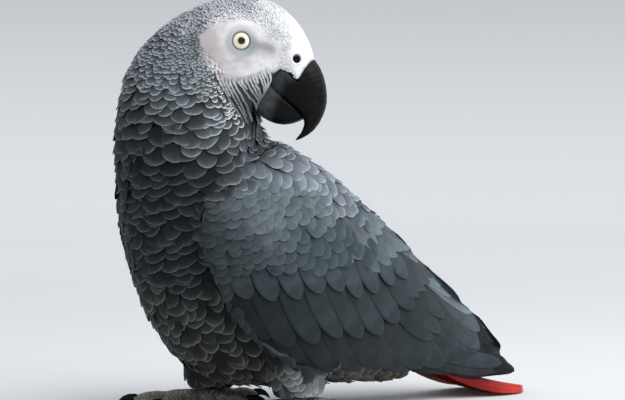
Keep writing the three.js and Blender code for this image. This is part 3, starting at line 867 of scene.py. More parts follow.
@functools.cache
def feather_finish(name, one_edge=False, gloss=0.62):
    """Feathers: dark at the root, paler at the rim, with fine barbs and a shaft.

    The dark root is partly the feather's own darker base and partly painted shadow of the feathers over it.
    """
    finish = Finish(name, roughness=gloss, specular_ior_level=0.1, sheen_weight=0.015, sheen_roughness=0.5)
    across, lengthwise, outline = vane_parts(finish)
    shade, edge = finish.attribute("shade"), finish.attribute("edge")
    side = finish.maths("ABSOLUTE", across)
    start = finish.maths("SUBTRACT", edge.outputs["Alpha"], 0.09)
    end = finish.maths("ADD", edge.outputs["Alpha"], 0.05)
    rim = finish.step(outline, start, end)
    glow = finish.step(outline, 0.45, 1.02)
    rim = finish.maths("MULTIPLY_ADD", rim, 0.66, finish.maths("MULTIPLY", glow, 0.34))
    rim_from = 0.3 if one_edge else 0.64
    rim = finish.maths("MULTIPLY", rim, finish.step(lengthwise, rim_from, rim_from + 0.33))
    if one_edge:
        rim = finish.maths("MULTIPLY", rim, finish.step(across, -0.2, 0.5, 0.25, 1.0))
    # Painted shadow, over the feather's own darker base: the colour darkens towards the root, under the
    # feathers that overlap it.
    root = finish.step(lengthwise, 0.5, 0.93, -0.62, 0.08)
    root = finish.maths("MULTIPLY_ADD", root, shade.outputs["Alpha"], 1.0)
    deep = finish.mix(1.0, shade.outputs["Color"], finish.grey(root), "MULTIPLY")
    barb_way = finish.maths("MULTIPLY_ADD", side, 0.55, finish.maths("MULTIPLY", lengthwise, -1.0))
    barbs = finish.maths("SINE", finish.maths("MULTIPLY", barb_way, BARBS))
    cloud = finish.noise(finish.places(), 190.0, 4.0)
    mottle = finish.step(cloud, 0.25, 0.75, 0.84, 1.14)
    mottle = finish.maths("MULTIPLY_ADD", barbs, 0.03, mottle)
    painted = finish.mix(rim, deep, edge.outputs["Color"])
    painted = finish.mix(1.0, painted, finish.grey(mottle), "MULTIPLY")
    shaft = finish.maths("MULTIPLY", finish.step(side, 0.09, 0.03), 0.35)
    painted = finish.mix(shaft, painted, finish.mix(0.5, painted, SHAFT_TONE))
    finish.colour(painted)
    ridge = finish.step(side, 0.1, 0.02)
    relief = finish.maths("MULTIPLY_ADD", ridge, 1.5, finish.maths("MULTIPLY", barbs, 0.3))
    finish.bump(relief, 0.06, 0.6)
    return finish.material


@functools.cache
def horn_finish():
    """Black horn, with a powdery grey that is partly a painted sheen at the bill's base by the cere, growth
    lines and a few scratches.
    """
    colours = bare()
    finish = Finish("horn", roughness=0.45, specular_ior_level=0.12)
    places = finish.places()
    powder_and_sheen = finish.step(finish.noise(places, 130.0, 6.0, 0.6), 0.55, 0.9, 0.0, 0.16)
    # Painted sheen at the bill's base by the cere, and a powdery patch, both in the same grey broken by
    # noise.
    dusty_and_sheened = finish.attribute("dust_and_sheen").outputs["Fac"]
    patchy = finish.maths("MULTIPLY", dusty_and_sheened, finish.noise(places, 420.0))
    powder_and_sheen = finish.maths("MAXIMUM", powder_and_sheen, patchy)
    finish.colour(finish.mix(powder_and_sheen, colours.horn, colours.dust_and_sheen))
    drawn_out = {0: places, "Scale": (90.0, 90.0, 900.0), "Rotation": (0.5, 0.4, 0.8)}
    drawn_out = finish.add("Mapping", drawn_out).outputs[0]
    scratch = finish.step(finish.noise(drawn_out, 1.6, 2.0), 0.62, 0.7)
    matt = finish.maths("MULTIPLY_ADD", powder_and_sheen, 0.4, 0.4)
    finish.rough(finish.maths("ADD", matt, finish.maths("MULTIPLY", scratch, 0.1)))
    rings = finish.noise(places, 320.0, 3.0)
    finish.bump(finish.maths("MULTIPLY_ADD", scratch, -0.4, rings), 0.12, 0.5)
    return finish.material


@functools.cache
def skin_finish():
    """Skin: the coat's own markings and painted shade, powdery and finely wrinkled where it is bare."""
    finish = Finish(
        "skin", roughness=0.62, specular_ior_level=0.3, subsurface_weight=0.06, subsurface_scale=0.004
    )
    markings_and_shade = finish.attribute("markings_and_shade")
    places = finish.places()
    mottle = finish.step(finish.noise(places, 260.0, 5.0), 0.3, 0.7)
    blush = finish.maths("MULTIPLY", mottle, finish.maths("MULTIPLY", markings_and_shade.outputs["Alpha"], 0.35))
    finish.colour(finish.mix(blush, markings_and_shade.outputs["Color"], bare().blush))
    pores = finish.noise(places, 1500.0, 3.0)
    wrinkles = finish.noise(places, 420.0, 4.0, 1.2)
    finish.bump(finish.maths("MULTIPLY_ADD", wrinkles, 1.6, pores), 0.14, 0.7)
    return finish.material


@functools.cache
def scale_finish():
    """Grey scales with darker skin between them."""
    colours = bare()
    finish = Finish("scales", roughness=0.5, specular_ior_level=0.4)
    places = finish.places()
    patchy = finish.step(finish.noise(places, 300.0, 5.0), 0.3, 0.75, 0.78, 1.3)
    plate = finish.mix(1.0, colours.foot, finish.grey(patchy), "MULTIPLY")
    finish.colour(finish.mix(finish.attribute("plate").outputs["Fac"], colours.crease, plate))
    finish.bump(finish.noise(places, 900.0, 4.0), 0.1, 0.5)
    return finish.material


PUPIL_TONE = (0.003, 0.003, 0.003)
EYE_RIM_TONE = (0.02, 0.02, 0.018)
SHAFT_TONE = (0.02, 0.02, 0.02)


def eye_finish(name):
    """A smooth wet eye: dark pupil, pale iris with fine spokes, and a dark rim."""
    colours = bare()
    finish = Finish(
        "eye " + name, roughness=0.1, specular_ior_level=0.25, coat_weight=0.3, coat_roughness=0.02
    )
    outward = Vector(eye_axis(SIDES[name]))
    frame_of_eye = Matrix((Vector(UP).cross(outward), Vector(UP), outward)).transposed()
    split = finish.add("SeparateXYZ", {0: finish.places(EYES[name], frame_of_eye.to_euler())})
    x, y = split.outputs[0], split.outputs[1]
    radius = finish.distance(x, y)
    angle = finish.maths("ARCTAN2", y, x)
    spokes = finish.noise(finish.add("CombineXYZ", {0: angle, 1: 0.0, 2: 0.0}).outputs[0], 9.0, 4.0)
    iris = build().iris / MM
    pupil = build().pupil / MM
    ring = finish.step(radius, pupil + 0.1, pupil + 0.9)
    ball = finish.mix(ring, colours.iris_edge, colours.iris)
    ball = finish.mix(finish.step(spokes, 0.45, 0.8, 0.0, 0.25), ball, colours.iris_edge)
    ball = finish.mix(finish.step(radius, iris - 0.3, iris), ball, colours.lid)
    ball = finish.mix(finish.step(radius, pupil - 0.12, pupil + 0.12), PUPIL_TONE, ball)
    finish.colour(finish.mix(finish.step(radius, iris, iris + 0.5), ball, EYE_RIM_TONE))
    return finish.material


@functools.cache
def lid_finish():
    """Creased skin on the rim of the lids."""
    finish = Finish("lids", roughness=0.45, specular_ior_level=0.4)
    creased = finish.noise(finish.places(), 1300.0, 3.0)
    finish.colour(finish.mix(finish.step(creased, 0.35, 0.7, 0.3, 0.8), bare().lid, bare().ring))
    finish.bump(creased, 0.08, 0.6)
    return finish.material


# ---------------------------------------------------------------- feathers
def half_width(shares):
    """A vane's half width along its shaft, as a share of its widest."""
    shares = np.asarray(shares, float)
    root = np.clip(shares / 0.3, 0, 1) ** 0.5
    tip = np.clip(shares - ROUND_FROM, 0, 1) / (1 - ROUND_FROM)
    return root * np.sqrt(np.clip(1 - tip**2, 0.05, 1))


def vane_rows(count):
    """Shares along the shaft, closer together towards the tip."""
    return 0.1 + 0.9 * np.sin(np.linspace(0, math.pi / 2, count)) ** 0.92


def march(surface, roots, faces, lengths, sway, rows):
    """Lays each vane's shaft over the surface along the lie of the coat: its places and normals by row."""
    shares = surface.shares(roots, faces)
    place = roots
    found_places, found_normals = [], []
    heading = None
    before = rows[0]
    for row in rows:
        if row > before:
            place, faces, shares = surface.nearest(place + heading * (lengths * (row - before))[:, None])
            before = row
        normal = unit(surface.blend(surface.normals, faces, shares))
        lie = surface.blend(surface.lie, faces, shares)
        lie = unit(lie - normal * (lie * normal).sum(1, keepdims=True))
        lie = lie * np.cos(sway)[:, None] + np.cross(normal, lie) * np.sin(sway)[:, None]
        if heading is not None:
            lie = lie * 0.55 + heading * 0.45
        heading = unit(lie - normal * (lie * normal).sum(1, keepdims=True))
        found_places.append(place)
        found_normals.append(normal)
    return np.stack(found_places, axis=1), np.stack(found_normals, axis=1)


def spread_vanes(surface, shafts, normals, widths, heights, camber, tilt, rows, columns):
    """Vertices of vanes that follow the surface from their shafts to their rims, by vane, row and column."""
    heading = unit(np.gradient(shafts, axis=1))
    across = unit(np.cross(normals, heading))
    shares = np.linspace(-1, 1, columns)
    reach = half_width(rows)[None, :, None] * shares[None, None, :] * widths[:, None, None] / 2
    height = heights[:, :, None] - camber * shares**2 * widths[:, None, None] + tilt[:, None, None] * reach
    flat = (shafts[:, :, None, :] + across[:, :, None, :] * reach[..., None]).reshape(-1, 3)
    places, faces, corner_shares = surface.nearest(flat)
    found = unit(surface.blend(surface.normals, faces, corner_shares))
    return (places + found * height.reshape(-1, 1)).reshape(*height.shape, 3)


def patch_table(left, low, wide, tall):
    """Patches of the baking map by their corners and sizes, a row for each."""
    return np.stack(np.broadcast_arrays(left, low, wide, tall), axis=1)


def with_fourth(colours, values):
    """Colours with a fourth value added to each."""
    fourth = np.broadcast_to(values, (*colours.shape[:-1], 1))
    return np.concatenate([colours, fourth], axis=-1)


class Vanes:
    """Many vanes gathered into one mesh, with the colours and maps that their finish reads."""

    def __init__(self):
        self.points, self.quads, self.vane_map, self.bake_map = [], [], [], []
        self.shade, self.edge = [], []
        self.count = 0

    def add(self, points, rows, shades, edges, patches, flipped=False):
        """Adds vanes. Their patches are a corner and a size on the baking map.

        Shades and edges hold a colour and a fourth value: how dark the root is, partly painted shadow of the
        feathers over it, and where the rim starts.
        """
        vanes, row_count, columns = points.shape[:3]
        index = np.arange(vanes * row_count * columns).reshape(vanes, row_count, columns) + self.count
        corners = (index[:, :-1, :-1], index[:, 1:, :-1], index[:, 1:, 1:], index[:, :-1, 1:])
        quads = np.stack(corners, axis=-1)
        if flipped:
            quads = quads[..., ::-1]
        self.quads.append(quads.reshape(-1, 4))
        self.points.append(points.reshape(-1, 3))
        across = half_width(rows)[:, None] * np.linspace(-1, 1, columns)[None]
        lengthwise = np.repeat(np.asarray(rows)[:, None], columns, axis=1)
        vane_map = np.stack([across / 2 + 0.5, lengthwise], axis=-1)
        self.vane_map.append(np.broadcast_to(vane_map, (vanes, row_count, columns, 2)).reshape(-1, 2))
        margin = np.linspace(0.08, 0.92, columns)[None]  # keeps each vane clear of the next one's patch
        flat = np.stack(np.broadcast_arrays(margin, lengthwise), axis=-1)
        places = patches[:, None, None, :2] + flat[None] * patches[:, None, None, 2:]
        self.bake_map.append(places.reshape(-1, 2))
        per_vane = row_count * columns
        if shades.ndim == 3:
            self.shade.append(np.repeat(shades.reshape(-1, 4), columns, axis=0))
        else:
            self.shade.append(np.repeat(shades, per_vane, axis=0))
        self.edge.append(np.repeat(edges, per_vane, axis=0))
        self.count += vanes * per_vane

    def finish(self, name):
        """The gathered vanes as one object."""
        points = to_world(np.concatenate(self.points))
        quads = np.concatenate(self.quads)
        mesh = bpy.data.meshes.new(name)
        mesh.vertices.add(len(points))
        mesh.loops.add(quads.size)
        mesh.polygons.add(len(quads))
        mesh.vertices.foreach_set("co", points.astype(np.float32).ravel())
        mesh.loops.foreach_set("vertex_index", quads.astype(np.int32).ravel())
        mesh.polygons.foreach_set("loop_start", np.arange(0, quads.size, 4, dtype=np.int32))
        mesh.update(calc_edges=True)
        corners = quads.ravel()
        for label, values in (("Vane", self.vane_map), ("OFBake", self.bake_map)):
            layer = mesh.uv_layers.new(name=label)
            layer.uv.foreach_set("vector", np.concatenate(values)[corners].astype(np.float32).ravel())
        write_colour(mesh, "shade", np.concatenate(self.shade))
        write_colour(mesh, "edge", np.concatenate(self.edge))
        mesh.validate()
        return new_object(name, mesh)


# The line that the skin is unwrapped round, from the crown to the tail.
BODY_LINE = [
    (21, -16, 196), (8, -32, 170), (2, -36, 140), (0, -24, 100), (0, 8, 62), (0, 60, 36), (0, 110, 18),
]


def unwrapped(points):
    """Each point's place on an unwrap of the skin round the body's own long line: round it and along it."""
    knots = np.array(BODY_LINE, float)
    best = np.full(len(points), FAR_OFF)
    found = np.zeros((len(points), 2))
    reach = np.concatenate(([0], np.cumsum(np.linalg.norm(np.diff(knots, axis=0), axis=1))))
    for i, (a, b) in enumerate(zip(knots[:-1], knots[1:])):
        edge = b - a
        share = np.clip((points - a) @ edge / (edge @ edge), 0, 1)
        off = points - a - share[:, None] * edge
        gap = np.linalg.norm(off, axis=1)
        side = np.array((1.0, 0, 0))
        front = unit(np.cross(edge, side))
        turn = np.arctan2(off @ front, off @ side) / (2 * math.pi) + 0.5
        place = np.stack([turn, (reach[i] + share * np.linalg.norm(edge)) / reach[-1]], axis=1)
        found = np.where((gap < best)[:, None], place, found)
        best = np.minimum(best, gap)
    return found


def patches_at(points):
    """A small square of the baking map for each root alone, near its place on the unwrapped skin."""
    size = build().patch
    cells = int(1 / size)
    taken = set()
    corners = []
    wanted = np.clip((unwrapped(points) * cells).astype(int), 0, cells - 1)
    for column, row in wanted.tolist():
        ring = 0
        free = None
        while free is None:
            steps = range(-ring, ring + 1)
            square = [(column + i, row + j) for i in steps for j in steps]
            inside = [c for c in square if min(c) >= 0 and max(c) < cells and c not in taken]
            free = inside[0] if inside else None
            ring += 1
        taken.add(free)
        corners.append((free[0] * size, free[1] * size, size, size))
    return np.array(corners)


def scatter(surface, spacing, stretch, keep, rng, tries=6.0):
    """Roots spread over the kept triangles, the spacing apart along the lie of the coat, and more across it.

    There are so many tries for each root that fits. A try too near to a chosen root is dropped.
    """
    corners = surface.points[surface.triangles]
    first, second = corners[:, 1] - corners[:, 0], corners[:, 2] - corners[:, 0]
    area = np.linalg.norm(np.cross(first, second), axis=1) / 2
    gap = spacing[surface.triangles].mean(1)
    number = rng.poisson(np.where(keep, area / gap**2 * tries, 0))
    faces = np.repeat(np.arange(len(area)), number)
    shares = rng.dirichlet((1, 1, 1), len(faces))
    places = surface.blend(surface.points, faces, shares)
    gaps = surface.blend(spacing, faces, shares) * 0.93
    wider = surface.blend(stretch, faces, shares)
    lies = unit(surface.blend(surface.lie, faces, shares))
    tree = search_tree(places)
    free = np.ones(len(places), bool)
    chosen = []
    for i in rng.permutation(len(places)).tolist():
        if free[i]:
            chosen.append(i)
            near = np.array([found[1] for found in tree.find_range(places[i], gaps[i] * wider[i])])
            offset = places[near] - places[i]
            ahead = offset @ lies[i]
            squares = ahead**2 + ((offset**2).sum(1) - ahead**2) / wider[i] ** 2
            free[near[squares < gaps[i] ** 2]] = False
    return places[chosen], faces[chosen]


# The pieces of the coat: the kinds of feather in each, its slot, and its rows and columns of mesh.
COAT = {
    "coat_crown": (("forehead", "crown", "hindcrown"), "crown", 6, 5),
    "coat_nape": (("nape",), "neck", 7, 5),
    "coat_cheeks": (("ear", "cheek"), "crown", 6, 5),
    "coat_neck": (("neck", "throat"), "neck", 8, 7),
    "coat_collar": (("collar",), "neck", 9, 9),
    "coat_breast": (("breast",), "trunk", 9, 9),
    "coat_belly": (("belly", "flank", "vent"), "trunk", 9, 7),
    "coat_thighs": (("thigh",), "thigh", 7, 5),
    "coat_back": (("mantle", "rump"), "trunk", 9, 9),
    "coat_shoulders": (("shoulder", "bend", "covert"), "coverts", 7, 7),
}
# How much more the feathers of some pieces differ from one another than those of the others do.
COAT_LOOSE = {"coat_breast": 1.7, "coat_belly": 2.2, "coat_neck": 1.3, "coat_collar": 1.6, "coat_back": 1.2}
WING_CLEAR, WING_CLOSE = 1.5, 16.0  # how far outside the surface a wing that hides it is looked for, in mm


def under_wing(places, normals):
    """True where a folded wing lies close outside the surface."""
    trees = [joined_form(*wing_nodes(name)).tree for name in SIDES]
    covered = []
    for place, normal in zip(places, normals):
        start = Vector(place + normal * WING_CLEAR)
        hits = [tree.ray_cast(start, Vector(normal), WING_CLOSE)[0] for tree in trees]
        covered.append(any(hit is not None for hit in hits))
    return np.array(covered)


def coat_kinds(points, on_wing):
    """The index of the kind of feather that grows at each point."""
    places, _, kinds = both_sides()
    names = list(PLUMES)
    number = np.array([names.index(kind) for kind in kinds])
    of_wing = np.array([kind in WING_KINDS for kind in kinds])
    found = []
    for rows in np.array_split(np.arange(len(points)), max(1, len(points) // BATCH)):
        gap = ((points[rows][:, None] - places[None]) ** 2).sum(2)
        gap = np.where(of_wing[None] == on_wing[rows][:, None], gap, FAR_OFF)
        found.append(number[gap.argmin(1)])
    return np.concatenate(found)


CAMBER = 0.035  # how far a vane's rims fall below its shaft, as a share of its width
RUFFLE = 0.003  # how far its vertices stray, as a share of its width


def painted_front_shade(places, heights):
    """Painted shade: how light the coat is, less towards the front of the wings and of the back between
    them.
    """
    forward = places[:, 1] + 0.55 * (heights - 88)
    return (0.6 * smooth(-44, -2, forward) ** 0.6 + 0.4)[:, None]


def coat_piece(name):
    """One piece of the coat, from the roots of its own kinds of feather."""
    kinds, slot, row_count, columns = COAT[name]
    surface = form()
    rng = draws(list(COAT).index(name))
    places, faces, on_wing = coat_roots()
    names = list(PLUMES)
    own = np.isin(coat_kinds(places, on_wing), [names.index(kind) for kind in kinds])
    places, faces = places[own], faces[own]
    shares = surface.shares(places, faces)
    values = surface.blend(surface.values, faces, shares)
    count = len(places)
    rows = vane_rows(row_count)
    bare_near = smooth(-5.0, 0.5, face_edge(places))  # feathers are shorter and lie flatter near the face
    loose = COAT_LOOSE.get(name, 1.0)
    lengths = values[:, LENGTH] * (1 + loose * rng.uniform(-0.13, 0.13, count)) * (1 - 0.45 * bare_near)
    widths = values[:, WIDTH] * (1 + loose * rng.uniform(-0.13, 0.1, count)) * (1 - 0.4 * bare_near)
    sway = rng.normal(0, 0.1 * loose, count)
    shafts, normals = march(surface, places, faces, lengths, sway, rows)
    lift = rng.normal(0.15, 0.14 * loose, count)
    fall = -(values[:, DEPTH] * 0.85 * (1 - 0.7 * bare_near))[:, None] * (1 - rows[None]) ** 1.1
    heights = fall + lift[:, None] * rows[None] ** 2
    tilt = rng.normal(0, 0.06 * loose, count)
    points = spread_vanes(surface, shafts, normals, widths, heights, CAMBER, tilt, rows, columns)
    points = points + rng.normal(0, RUFFLE, points.shape) * widths[:, None, None, None]
    light = rng.normal(1, 0.08, count)[:, None]
    # Painted shade darkens the wings' coat and the back towards their front, over each feather's random
    # tone.
    if slot == "coverts":
        light = light * painted_front_shade(places, np.minimum(places[:, 2], 108))
    elif name == "coat_back":
        light = light * painted_front_shade(places, 88)
    shades = values[:, MIDDLE_TONE] * light
    rims = values[:, RIM_TONE] * light
    pale = 0.9 * bare_near * smooth(-19, -9, head_axes(places)[:, 0])  # round the bare face, but not behind
    shades = tinted(shades, bare().face, pale)
    rims = tinted(rims, (1, 1, 1), pale)
    # How dark each root is: the feather's own darker base and painted shadow of the feathers over it, less
    # on the wings.
    fade = 1 - 0.8 * shades.mean(1, keepdims=True) ** 0.5  # pale feathers are hardly darker at the root
    if slot == "coverts":
        fade = fade * 0.5
    edges = with_fourth(rims, values[:, RIM, None])
    vanes = Vanes()
    vanes.add(points, rows, with_fourth(shades, fade), edges, patches_at(places))
    dress(vanes.finish(name), feather_finish("plumage"), slot)


STREAKS_HIGH, STREAKS_LOW, STREAKS_FRONT = -14.5, -36, 24  # up and ahead from between the eyes
STREAKS_MIDDLE = 5  # nearer than this to the head's middle plane there are none


def streaked(points):
    """Whether points lie under the rows of narrow feathers between the bare face and the bill."""
    ahead, left, up = head_axes(points).T
    rear = -9 + (-17 - up) * 0.55  # the rear edge leans forward as it goes down
    level = (up < STREAKS_HIGH) & (up > STREAKS_LOW) & (np.abs(left) > STREAKS_MIDDLE)
    return level & (ahead > rear) & (ahead < STREAKS_FRONT)


# Where the rows of narrow feathers start, ahead and up from the eye: along the bare face's lower edge, then
# along lines below it, which fill the room between rows that have spread apart.
STREAK_LINES = [
    [(-10, -14), (-6, -16.6), (0, -17.6), (6.9, -16.6), (12.5, -13.6), (18, -10.6)],
    [(-9, -18), (0, -21), (14, -18)],
    [(-8, -21), (0, -24), (13, -21)],
    [(-6, -25), (2, -27), (12, -24)],
    [(-4, -28), (8, -29)],
    [(-3, -31), (6, -32)],
]
STREAK_GAP, STREAK_STEP, STREAK_LENGTH = 1.5, 1.1, 3.4  # between rows, along a row, and of a feather
STREAK_MOST = 24  # feathers in a row
STREAK_TOP = -16  # rows go on above this height, though no streaked skin lies there
STREAK_ACROSS = (0.87, 0.48)  # square to the rows, ahead and up
STREAK_CAMBER = 0.2  # as CAMBER, but rounder
# Which way the rows run, ahead and up, by how high they are: height, ahead, up.
STREAK_WAYS = [(-36, 0.85, -0.5), (-31, 0.75, -0.65), (-25, 0.62, -0.78), (-17, 0.48, -0.87)]


def streak_roots(side):
    """Roots along rows that run down and forward to the bill, and stop where another row is too near."""
    surface = form()
    height, ahead_way, up_way = np.array(STREAK_WAYS).T
    roots, faces = [], []
    for line in STREAK_LINES:
        line = np.array(line, float)
        beside = line @ STREAK_ACROSS
        for reach in np.arange(beside[0], beside[-1], STREAK_GAP / 2):
            ahead, up = (np.interp(reach, beside, column) for column in line.T)
            place, face, _ = surface.nearest(on_head((ahead, side * 24.0, up))[None])
            row = []
            others = np.array(roots).reshape(-1, 3)
            while len(row) < STREAK_MOST:
                if len(others) and np.linalg.norm(others - place, axis=1).min() < 0.86 * STREAK_GAP:
                    break
                row.append((place[0], face[0]))
                up = head_axes(place)[:, 2]
                way = np.interp(up, height, ahead_way) * LOOK + np.interp(up, height, up_way) * UP
                place, face, _ = surface.nearest(place + unit(way) * STREAK_STEP)
                if not (streaked(place) | (head_axes(place)[:, 2] > STREAK_TOP))[0]:
                    break
            roots += [place for place, _ in row]
            faces += [face for _, face in row]
    return np.array(roots), np.array(faces)


def streaks():
    """The narrow white feathers in rows over the cheeks, with dark skin painted as shade showing between the
    rows.
    """
    surface = form()
    rng = draws(STREAK_DRAWS)
    found = [streak_roots(side) for side in SIDES.values()]
    places, faces = (np.concatenate(parts) for parts in zip(*found))
    count = len(places)
    rows = vane_rows(6)
    lengths = STREAK_LENGTH * rng.uniform(0.85, 1.15, count)
    widths = rng.uniform(0.8, 1.0, count)
    shafts, normals = march(surface, places, faces, lengths, rng.normal(0, 0.05, count), rows)
    heights = -0.7 * (1 - rows[None]) + rng.normal(0.1, 0.06, count)[:, None]
    flat = np.zeros(count)
    points = spread_vanes(surface, shafts, normals, widths, heights, STREAK_CAMBER, flat, rows, 5)
    light = rng.normal(1, 0.07, count)[:, None]
    colours = plumage()
    fade = smooth(-14, -27, head_axes(places)[:, 2])[:, None]
    tones = np.array(colours.cheek_rim) * (1 - fade) + np.array(colours.neck_rim) * fade
    # The root is darkened a little: partly the feather's own base, partly painted shadow of the feathers
    # over it.
    shades = with_fourth(tones * light * 0.7, 0.4)
    edges = with_fourth((0.4 + 0.6 * tones) * tones * light, 0.8)
    vanes = Vanes()
    vanes.add(points, rows, shades, edges, patches_at(places))
    dress(vanes.finish("coat_streaks"), feather_finish("plumage"), "crown")


@functools.cache
def coat_roots():
    """Where every feather of the coat is rooted on the form."""
    surface = form()
    rng = draws()
    below_line = surface.rows > 0.5
    grows = (surface.face < 1.0) & (surface.cere < 5.0) & ~below_line & ~streaked(surface.points)
    for side in SIDES.values():
        grows &= nostril_offsets(surface.points, side)[1] > NOSTRIL_CLEAR
    keep = grows[surface.triangles].all(1)
    spacing = surface.values[:, SPACING] * (1 - 0.3 * smooth(-5.0, 0.5, surface.face))
    stretch = np.clip(0.62 * surface.values[:, WIDTH] / spacing, 1.0, 3.0)
    places, faces = scatter(surface, spacing, stretch, keep, rng)
    shares = surface.shares(places, faces)
    normals = unit(surface.blend(surface.normals, faces, shares))
    on_wing = surface.blend(surface.wing.astype(float), faces, shares) > 0.5
    # On the trunk nothing grows to the rear between a folded wing and the body, well inside its outline.
    beside = (np.abs(places[:, 0]) > 14) & (places[:, 1] > 20)
    for height in (places[:, 2] + 10, places[:, 2] - 6):
        beside &= np.abs(within_wing(places[:, 1], height) - height) < 0.01
    shown = ~under_wing(places, normals) & (on_wing | ~beside)
    return places[shown], faces[shown], on_wing[shown]


# ---------------------------------------------------------------- flight feathers
WingRow = collections.namedtuple("WingRow", "kind roots tips number widths depths bow rim lights")
# Rows of the folded left wing, deepest first: the kind, the line of the roots and of the tips as [y, z], how
# many feathers, their widths and depths under the wing's outline at the front and the rear, how far they bow
# down, where the rim starts, and how light they are from the front to the rear: partly their own tone and
# partly painted shade, darker towards the wing's front.
WING_ROWS = [
    WingRow("quill", [(66, 26), (84, 48)], [(134, 12), (144, 17), (146, 24), (138, 34)],
            6, (18, 14), (3.6, 3.4), 1, 0.95, (0.3, 0.3)),
    WingRow("quill", [(74, 25), (88, 28)], [(132, 9.5), (146, 15.5)],
            3, (15, 9), (3.0, 2.2), 1.5, 0.93, (0.6, 1.0)),
    WingRow("primary", [(78, 28), (96, 31)], [(151, 10), (157, 12.4), (152.5, 15.5)],
            3, (12, 11), (3.3, 3.0), 2, 0.95, (0.5, 0.9)),
    WingRow("dark", [(114, 44), (122, 47)], [(140, 19), (147.5, 19.5), (145, 26), (138.5, 35)],
            4, (12, 10), (3.2, 2.6), -4, 0.9, (0.8, 1.0)),
    WingRow("quill", [(70, 44), (84, 50)], [(108, 22), (120, 22), (130, 25)],
            4, (17, 15), (2.8, 2.3), 2, 0.93, (0.6, 0.9)),
    WingRow("quill", [(-44, 58), (-14, 62), (30, 60), (66, 48)],
            [(-17, 33), (2, 22), (17, 21), (30, 20.6), (44, 20), (57, 19.5), (70, 18.5), (84, 18),
             (101, 20)],
            9, (18, 16), (2.6, 2.0), 4, 0.93, (0.15, 0.75)),
    WingRow("tertial", [(52, 72), (56, 76), (62, 80)], [(91, 32), (100, 37.5), (103, 43)],
            3, (16, 12), (1.9, 1.6), 2, 0.92, (0.5, 0.6)),
    WingRow("pale", [(82, 68), (90, 73)], [(129, 26), (131, 33.5)],
            2, (17, 15), (1.9, 1.5), 1, 0.92, (0.35, 0.5)),
    WingRow("pale", [(64, 84), (73, 79), (80, 73)], [(108, 58), (119, 51.5), (129, 43)],
            3, (12, 12), (1.6, 1.2), -1, 0.85, (0.75, 1.0)),
    WingRow("pale", [(54, 91), (66, 85), (76, 78)], [(92, 72), (104, 64), (114, 54)],
            4, (14, 12), (1.5, 1.2), -1, 0.85, (0.9, 1.1)),
    WingRow("tertial", [(38, 92), (48, 92), (58, 88)], [(82, 56), (93, 60), (103, 64)],
            4, (16, 14), (1.5, 1.2), 1, 0.9, (0.6, 0.85)),
    WingRow("covert", [(-52, 74), (-30, 72), (0, 76), (38, 74), (56, 74)],
            [(-30, 44), (-8, 36), (6, 35.5), (19, 38.5), (31, 37), (44, 36.5), (56, 38), (66, 43), (77, 49)],
            9, (16, 14), (1.6, 1.1), 2, 0.94, (0.12, 0.35, 0.72, 0.8, 0.75)),
    WingRow("covert", [(-54, 92), (-30, 90), (0, 90), (40, 90), (64, 86)],
            [(-42, 64), (-26, 58), (-8, 58), (9, 60), (22, 60.5), (34, 56), (48, 58), (61, 61), (74, 65)],
            10, (14, 13), (1.0, 0.7), 1.5, 0.92, (0.5, 0.8, 1.1, 1.15, 1.2)),
    WingRow("pale", [(22, 98), (34, 100), (46, 97)], [(52, 70), (64, 73), (76, 78), (88, 80)],
            5, (14, 13), (1.0, 0.7), 0, 0.9, (0.6, 1.0)),
    WingRow("pale", [(8, 100), (20, 104), (34, 103)], [(32, 74), (44, 78), (56, 84), (66, 92)],
            6, (12, 11), (0.7, 0.5), 0, 0.9, (0.75, 1.1)),
]
# Each kind's middle and rim colours, and how black its tip is.
WING_TONES = {
    "covert": ("covert", "covert_rim", 0.5),
    "tertial": ("covert", "covert_rim", 0.0),
    "pale": ("shoulder", "shoulder_rim", 0.0),
    "quill": ("quill", "quill_rim", 0.5),
    "primary": ("quill", "quill_rim", 1.0),
    "dark": ("tip", "quill", 0.0),
}
LONG_ROWS, LONG_COLUMNS = 13, 9  # the mesh of each long feather
RAY_START = 90.0  # how far out the rays start that look for a wing's outer surface, in mm
ROOT_SINK = 1.1  # how much deeper a long feather lies at its root than at its tip, in mm
REAR_SINK = 0.35  # half of how much deeper its rear edge lies than its front edge, in mm
CELLS_ACROSS = 13  # how many feathers of a wing's piece lie side by side on the baking map
CELL_SIZE = 1 / CELLS_ACROSS
CELL_TALL = 2.4  # how tall a feather's cell is there, in cell sizes
VANE_THICKNESS = 0.28  # of a wing's long feathers, in mm


def eased(grids, rounds):
    """Grids of values by vane, row and column, each value drawn to the mean of those beside it."""
    for _ in range(rounds):
        wide = np.pad(grids, ((0, 0), (1, 1), (1, 1)), mode="edge")
        beside = wide[:, :-2, 1:-1] + wide[:, 2:, 1:-1] + wide[:, 1:-1, :-2] + wide[:, 1:-1, 2:]
        grids = (grids * 2 + beside) / 6
    return grids


def wing_row_plan(row, rng):
    """Where the vertices of a row of long feathers lie as y and z, inside the wing's outline."""
    rows = vane_rows(LONG_ROWS)
    order = np.linspace(0, 1, row.number)
    start, end = along(row.roots, order), along(row.tips, order)
    start = start + rng.normal(0, 0.8, start.shape)
    end = end + rng.normal(0, 0.5, end.shape)
    width = np.linspace(*row.widths, row.number) * rng.uniform(0.95, 1.05, row.number)
    heading = unit(end - start)
    front = np.stack([heading[:, 1], -heading[:, 0]], axis=1)  # towards the wing's lower front edge
    swing = np.sin(math.pi * rows) * row.bow
    shaft = start[:, None] + (end - start)[:, None] * rows[None, :, None]
    shaft = shaft + front[:, None] * swing[None, :, None]
    shares = np.linspace(-1, 1, LONG_COLUMNS)
    reach = half_width(rows)[None, :, None] * shares[None, None] * width[:, None, None] / 2
    plan = shaft[:, :, None] + front[:, None, None] * reach[..., None]
    y = np.clip(plan[..., 0], WING_FOOT[0][0] + 2, WING_FOOT[-1][0] - 0.6)
    return y, within_wing(y, plan[..., 1])


